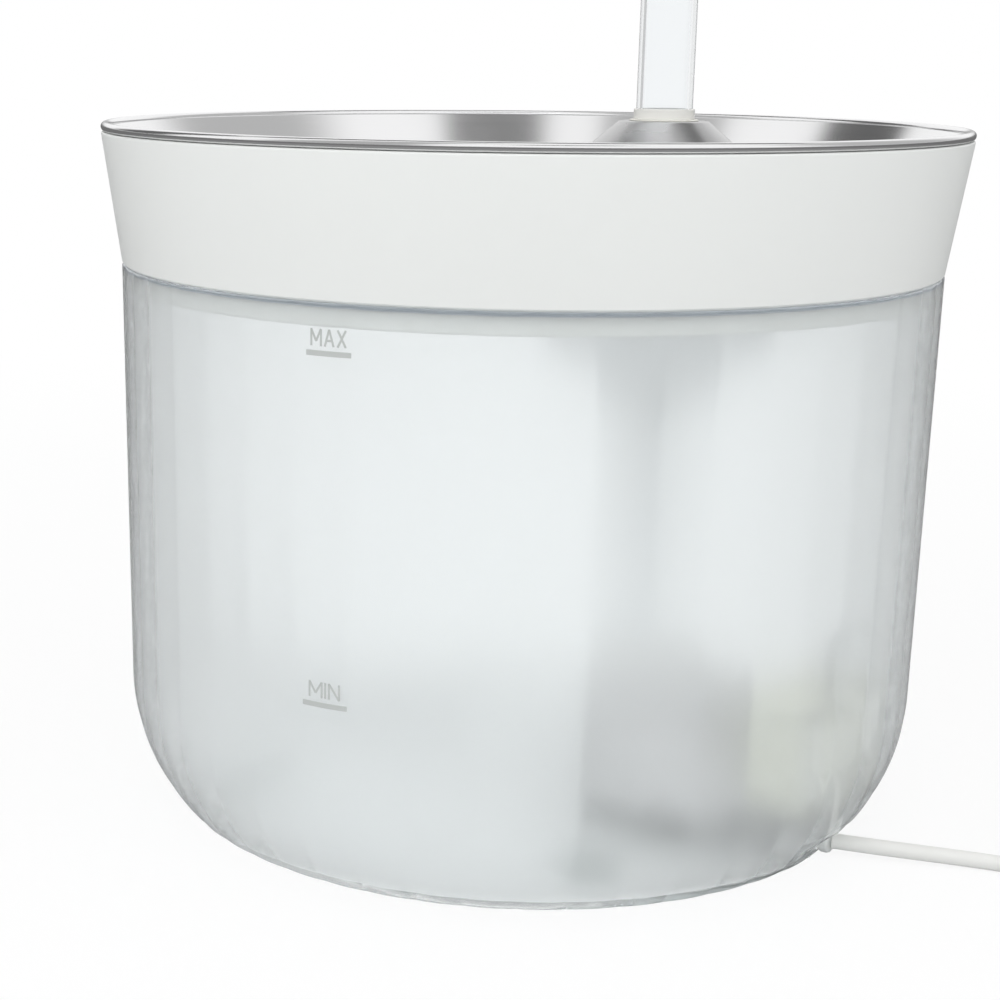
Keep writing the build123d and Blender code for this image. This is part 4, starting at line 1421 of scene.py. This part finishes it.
@dataclass
class Plug:
    """Moulded grip of the small flat plug, with a ribbed strain relief behind it."""

    cord: Cord = field(default_factory=Cord)
    relief: float = 9.0
    length: float = 30.0
    width: float = 15.4
    height: float = 7.8
    corner: float = 2.6
    pocket: float = 4.0
    shell_w: float = 12.1
    shell_h: float = 4.6
    ribs: int = 4

    def section(self, half_w: np.ndarray, half_h: np.ndarray, round_r: np.ndarray,
                columns: int = 72) -> np.ndarray:
        """Rounded rectangles across the plug: circles pushed out to the corners.

        At angle a the point is (sign(cos a) * (w - r) + r cos a, sign(sin a) * (h - r) + r sin a),
        and the sign changes smoothly over the flats.

        Args:
            half_w: Half width w of each section.
            half_h: Half height h of each.
            round_r: Radius r of each one's corners.
            columns: Points round each.

        Returns:
            Array of shape (sections, columns, 2).
        """
        a = np.linspace(0, 2 * math.pi, columns, endpoint=False)
        c, s = np.cos(a), np.sin(a)
        push = lambda v: np.tanh(6 * v) / math.tanh(6)
        y = (half_w - round_r)[:, None] * push(c) + round_r[:, None] * c
        z = (half_h - round_r)[:, None] * push(s) + round_r[:, None] * s
        return np.stack([y, z], 2)

    def place(self, grid: np.ndarray) -> np.ndarray:
        """Moves a grid to where the lead ends: turned about Z by the lead's heading, then shifted.

        Args:
            grid: Points in the plug's own axes, x along it.

        Returns:
            The moved points.
        """
        end, before = self.cord.tail_points()[-1], self.cord.tail_points()[-2]
        a = math.atan2(end[1] - before[1], end[0] - before[0])
        x, y, z = grid[..., 0], grid[..., 1], grid[..., 2]
        return np.stack([end[0] + x * math.cos(a) - y * math.sin(a),
                         end[1] + x * math.sin(a) + y * math.cos(a), end[2] + z], -1)

    def build(self) -> bpy.types.Object:
        """Lofts relief and grip along x: ribs on the relief, soft ends and a waist on the grip."""
        nose = self.relief + self.length
        x = np.concatenate([np.linspace(0, self.relief, 60),
                            self.relief + np.array([0.0, 0.25, 0.6, 1.1, 1.6]),
                            np.linspace(self.relief + 3, nose - 2, 24),
                            nose - np.array([1.2, 0.8, 0.45, 0.2, 0.05, 0.0])])
        grip = np.clip((x - self.relief) / 1.4, 0, 1)
        grip = np.where(x >= self.relief, np.sqrt(np.clip(1 - (1 - grip) ** 2, 0, 1)), 0)
        tip = np.sqrt(np.clip(1 - np.clip((x - nose + 1.2) / 1.2, 0, 1) ** 2, 0, 1))
        u = x / self.relief * self.ribs
        rib = 0.35 * np.where(x < self.relief, 0.5 + 0.5 * np.cos(2 * math.pi * u), 0)
        relief_r = 2.15 + 0.85 * np.clip(x / self.relief, 0, 1) + 0.35 - rib
        waist = 0.35 * np.exp(-((x - self.relief - 11) / 7) ** 2)
        nosed = 0.9 * (1 - tip) * (grip > 0)
        half_w = relief_r + (self.width / 2 - waist - relief_r) * grip - nosed
        half_h = relief_r + (self.height / 2 - relief_r) * grip - nosed
        round_r = relief_r + (self.corner - relief_r) * grip
        yz = self.section(half_w, half_h, np.minimum(round_r, np.minimum(half_w, half_h)))
        grid = np.concatenate([np.broadcast_to(x[:, None, None], (*yz.shape[:2], 1)), yz], 2)
        plug = solid("plug_grip", [self.place(grid)], Ends.CAPS)
        w, h = self.shell_w / 2, self.shell_h / 2
        carve(plug, [self.place(slab(nose - self.pocket, nose + 1, -w, w, -h, h))])
        crisp(plug, 40.0)
        return finish_piece(plug, "base", "plug_white", PLUG_SKIN.material(), "plug_body")


@dataclass
class Gland:
    """Small translucent bush round the lead where it leaves the tank."""

    radius: float = 2.9
    cord_z: float = 3.0
    start: float = 80.0
    end: float = 82.2
    stem_r: float = 2.3
    stem: float = 2.4

    def build(self) -> bpy.types.Object:
        """Turns the bush's outline and lays it along the lead."""
        tip = self.start - self.stem
        outline = rounded([(0.05, tip), (self.stem_r, tip), (self.stem_r, self.start),
                           (self.radius, self.start), (self.radius, self.end), (0.05, self.end)],
                          [0.2, 0.1, 0.3, 0.9], steps=6)
        gland = solid("cord_bush", [lying(turned(outline, 64), self.cord_z)], Ends.CAPS)
        crisp(gland, 40.0)
        return finish_piece(gland, "base", "gland_clear", GLAND_SKIN.material(), "cord_gland")


# ---------------------------------------------------------------------------------------------
# Studio
# ---------------------------------------------------------------------------------------------


@dataclass
class Camera:
    """The camera's place round the object, in millimetres and radians.

    It stands back from the axis on the side of the given azimuth, and its frame is shifted
    because the object fills one side of a wider view.
    """

    azimuth: float = 120.0
    back: float = 455.94
    height: float = 171.99
    yaw: float = -0.0876
    pitch: float = 0.2540
    roll: float = 0.0079
    lens: float = 70.9636
    sensor: float = 36.0
    shift_x: float = 0.15
    shift_y: float = 0.06

    def build(self) -> bpy.types.Object:
        """Places the camera.

        Forward is (sin yaw cos pitch, cos yaw cos pitch, -sin pitch), rolled about itself and then
        turned about the object's axis.
        """
        forward = Vector((math.sin(self.yaw) * math.cos(self.pitch),
                          math.cos(self.yaw) * math.cos(self.pitch), -math.sin(self.pitch)))
        level = Vector((math.cos(self.yaw), -math.sin(self.yaw), 0.0))
        upright = level.cross(forward)
        right = math.cos(self.roll) * level + math.sin(self.roll) * upright
        up = right.cross(forward)
        turn = Matrix.Rotation(math.radians(self.azimuth), 3, "Z")
        axes = turn @ Matrix((right, up, -forward)).transposed()
        data = bpy.data.cameras.new("view")
        data.sensor_width, data.lens = self.sensor, self.lens
        data.shift_x, data.shift_y = self.shift_x, self.shift_y
        data.clip_start, data.clip_end = 0.01, 50.0
        camera = bpy.data.objects.new("view", data)
        spot = turn @ Vector((0.0, -self.back * MM, self.height * MM))
        camera.matrix_world = Matrix.Translation(spot) @ axes.to_4x4()
        bpy.context.scene.collection.objects.link(camera)
        bpy.context.scene.camera = camera
        return camera


@dataclass(frozen=True)
class Softbox:
    """A large square lamp that looks at the object."""

    name: str
    azimuth: float
    elevation: float
    distance: float
    size: float
    power: float

    def build(self) -> None:
        """Hangs the lamp at its place, turned to the tank's middle."""
        data = bpy.data.lights.new(self.name, "AREA")
        data.shape, data.size, data.energy = "SQUARE", self.size, self.power
        lamp = bpy.data.objects.new(self.name, data)
        lamp.visible_glossy = False
        a, e = math.radians(self.azimuth), math.radians(self.elevation)
        away = Vector((math.cos(a) * math.cos(e), math.sin(a) * math.cos(e), math.sin(e)))
        lamp.location = Vector((0.0, 0.0, 0.08)) + self.distance * away
        lamp.rotation_euler = away.to_track_quat("Z", "Y").to_euler()
        bpy.context.scene.collection.objects.link(lamp)


@dataclass
class Studio:
    """Pale floor, white room and soft lamps.

    The cards are dark panels in the room, which only mirror-like surfaces show, as (azimuth, half
    width, soft edge, darkness, lowest and highest elevation). The side cards are seen through
    clear surfaces, as (azimuth, half width, soft edge, darkness). The curtain is a dark strip
    across the ceiling, as (heading, lean from the zenith, half width, darkness). Angles are in
    degrees.
    """

    room_light: float = 0.6
    floor_size: float = 6.0
    floor_colour: Colour = (0.88, 0.885, 0.89)
    floor_glow: float = 0.88
    cards: tuple[tuple[float, ...], ...] = (
        (44.0, 14.0, 10.0, 0.82, 47.0, 57.0), (138.0, 18.0, 25.0, 0.5, 8.0, 45.0),
        (-94.0, 12.0, 8.0, 0.88, 8.0, 45.0), (-20.0, 19.0, 6.0, 0.55, 8.0, 85.0))
    curtain: tuple[float, float, float, float] = (210.0, 25.0, 12.0, 0.85)
    side_cards: tuple[tuple[float, float, float, float], ...] = (
        (254.0, 9.0, 6.0, 0.4), (170.0, 6.0, 7.0, 0.08))
    low_mirror: float = 0.17
    inner_light: float = 0.95
    lamps: tuple[Softbox, ...] = (
        Softbox("key", 0.0, 45.0, 1.3, 1.0, 6.8),
        Softbox("fill", 95.0, 40.0, 1.4, 1.0, 4.4),
        Softbox("top", 10.0, 86.0, 1.2, 1.1, 2.8))

    def off(self, x: Value, y: Value, centre: float) -> Value:
        """Angle in degrees between the heading of (x, y) and an azimuth, without its sign."""
        heading = y.math("ARCTAN2", x) * (180 / math.pi)
        return ((heading - (centre - 180)).math("FLOORED_MODULO", 360.0) - 180).math("ABSOLUTE")

    def carded(self, x: Value, y: Value, cards: Sequence[tuple[float, ...]], z: Value | None = None,
               edge: float = 3.0) -> Value:
        """Brightness of the white room at the heading of (x, y), with its dark cards.

        Args:
            x: Direction or place along X.
            y: The same along Y.
            cards: The cards.
            z: Sine of the elevation, for cards that have a lower and an upper end.
            edge: Soft edge of those ends, in degrees.

        Returns:
            1 where there is no card.
        """
        bright: Value | float = 1.0
        for centre, half, soft, dark, *ends in cards:
            panel = self.off(x, y, centre).ramp(half + soft, half)
            if z is not None:
                under, low, high, over = (math.sin(math.radians(e)) for e in (
                    ends[0] - edge, ends[0], ends[1], ends[1] + edge))
                panel = panel * z.ramp(under, low) * z.ramp(over, high)
            bright = bright * (1 - dark * panel)
        return bright

    def rays(self, g: Graph, x: Value, y: Value) -> tuple[Value, Value, Value, Value]:
        """Brightness of the white surroundings by kind of ray, 0 where a ray is of another kind.

        Refracted rays see a white room with the side cards, unless they have left a dull surface
        inside the object, which the whole room lights.

        Args:
            g: The graph.
            x: Direction or place along X.
            y: The same along Y.

        Returns:
            Values for camera rays, refracted rays and mirrored rays, and 1 for all the rest.
        """
        path = g.add("ShaderNodeLightPath").outputs
        camera, glass = Value(g, path["Is Camera Ray"]), Value(g, path["Is Transmission Ray"])
        mirror = Value(g, path["Is Glossy Ray"]) * (1 - glass)
        inside = 1 - Value(g, path["Diffuse Depth"]).below(0.5)
        through = self.carded(x, y, self.side_cards) * (1 - inside) + inside * self.inner_light
        return camera, glass * through, mirror, (1 - camera) * (1 - glass) * (1 - mirror)

    def room(self) -> None:
        """World: white for the camera, carded for clear and shiny surfaces, dimmer as a light."""
        world = bpy.data.worlds.new("room")
        bpy.context.scene.world = world
        world.use_nodes = True
        g = Graph(world.node_tree)
        way = g.add("ShaderNodeTexCoord").outputs["Generated"]
        parts = g.add("ShaderNodeSeparateXYZ", inputs={0: way}).outputs
        x, y, z = (Value(g, parts[k]) for k in range(3))
        heading, tilt, half, dark = self.curtain
        a = math.radians(heading)
        lean = (x * math.cos(a) + y * math.sin(a)).math("ARCTAN2", z) * (180 / math.pi)
        away = (lean - tilt).math("ABSOLUTE")
        strip = away.ramp(half + 5.0, half) * z.ramp(0.72, 0.8)
        bright = self.carded(x, y, self.cards, z) * (1 - dark * strip)
        upward = z.ramp(0.05, 0.12)
        camera, glass, mirror, rest = self.rays(g, x, y)
        mirrored = mirror * (bright * upward + self.low_mirror * (1 - upward))
        strength = camera + glass + mirrored + rest * self.room_light
        sky = g.add("ShaderNodeBackground", inputs={0: (1.0, 1.0, 1.0, 1.0), 1: strength})
        g.add("ShaderNodeOutputWorld", inputs={0: sky.outputs[0]})

    def floor(self) -> None:
        """Large round floor whose own colour is nearly white to the camera and keeps the shadow."""
        count = 96
        rim = turned(np.array([(0.02, 0.0), (self.floor_size / MM, 0.0)]), count)
        mesh = bpy.data.meshes.new("floor")
        k = np.arange(count)
        after = np.roll(k, -1)
        faces = np.stack([k, count + k, count + after, after], 1).tolist()
        mesh.from_pydata((rim.reshape(-1, 3) * MM).tolist(), [], faces)
        floor = bpy.data.objects.new("floor", mesh)
        bpy.context.scene.collection.objects.link(floor)
        material, g = new_material("floor")
        pale = g.mix(g.noise(0.3), shade(self.floor_colour, 0.99), self.floor_colour)
        lit = g.add("ShaderNodeBsdfPrincipled", inputs={"Base Color": pale, "Roughness": 0.7,
                                                        "Specular IOR Level": 0.2})
        x, y, _ = g.axes()
        camera, glass, mirror, rest = self.rays(g, x, y)
        tone = g.mix(camera + glass + mirror * self.low_mirror, (0.0, 0.0, 0.0), (1.0, 1.0, 1.0))
        glow = g.add("ShaderNodeEmission", inputs={0: tone, 1: 1.0})
        far = (x * x + y * y).root().ramp(0.2, 0.7, self.floor_glow, 1.0)
        both = g.add("ShaderNodeMixShader", inputs={0: (1 - rest) * far, 1: lit.outputs[0],
                                                    2: glow.outputs[0]})
        g.add("ShaderNodeOutputMaterial", inputs={0: both.outputs[0]})
        mesh.materials.append(material)

    def build(self) -> None:
        """Sets the view transform and builds room, floor and lamps."""
        bpy.context.scene.view_settings.view_transform = "Standard"
        self.room()
        self.floor()
        for lamp in self.lamps:
            lamp.build()


def dress_nodes() -> None:
    """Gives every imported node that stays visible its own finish."""
    made: dict[str, bpy.types.Material] = {}
    for node, skin in NODE_FINISHES.items():
        if skin.name not in made:
            made[skin.name] = skin.material()
        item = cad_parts[node]
        for place in item.material_slots:
            place.material = made[skin.name]
        if not item.material_slots:
            item.data.materials.append(made[skin.name])
        log.info("%s wears %s", node, skin.name)


def main() -> None:
    """Builds the view, the lead, the object's pieces and the studio."""
    logging.basicConfig(level=logging.INFO, format="%(name)s: %(message)s")
    Camera().build()
    plug = Plug().build()
    Cord().build(plug)
    Gland().build()
    Tank().build()
    LevelMarks().build()
    Feet().build()
    Collar().build()
    Bowl().build()
    SpoutSeat().build()
    Spout().build()
    Sponge().build()
    dress_nodes()
    Studio().build()


if __name__ == "__main__":
    main()
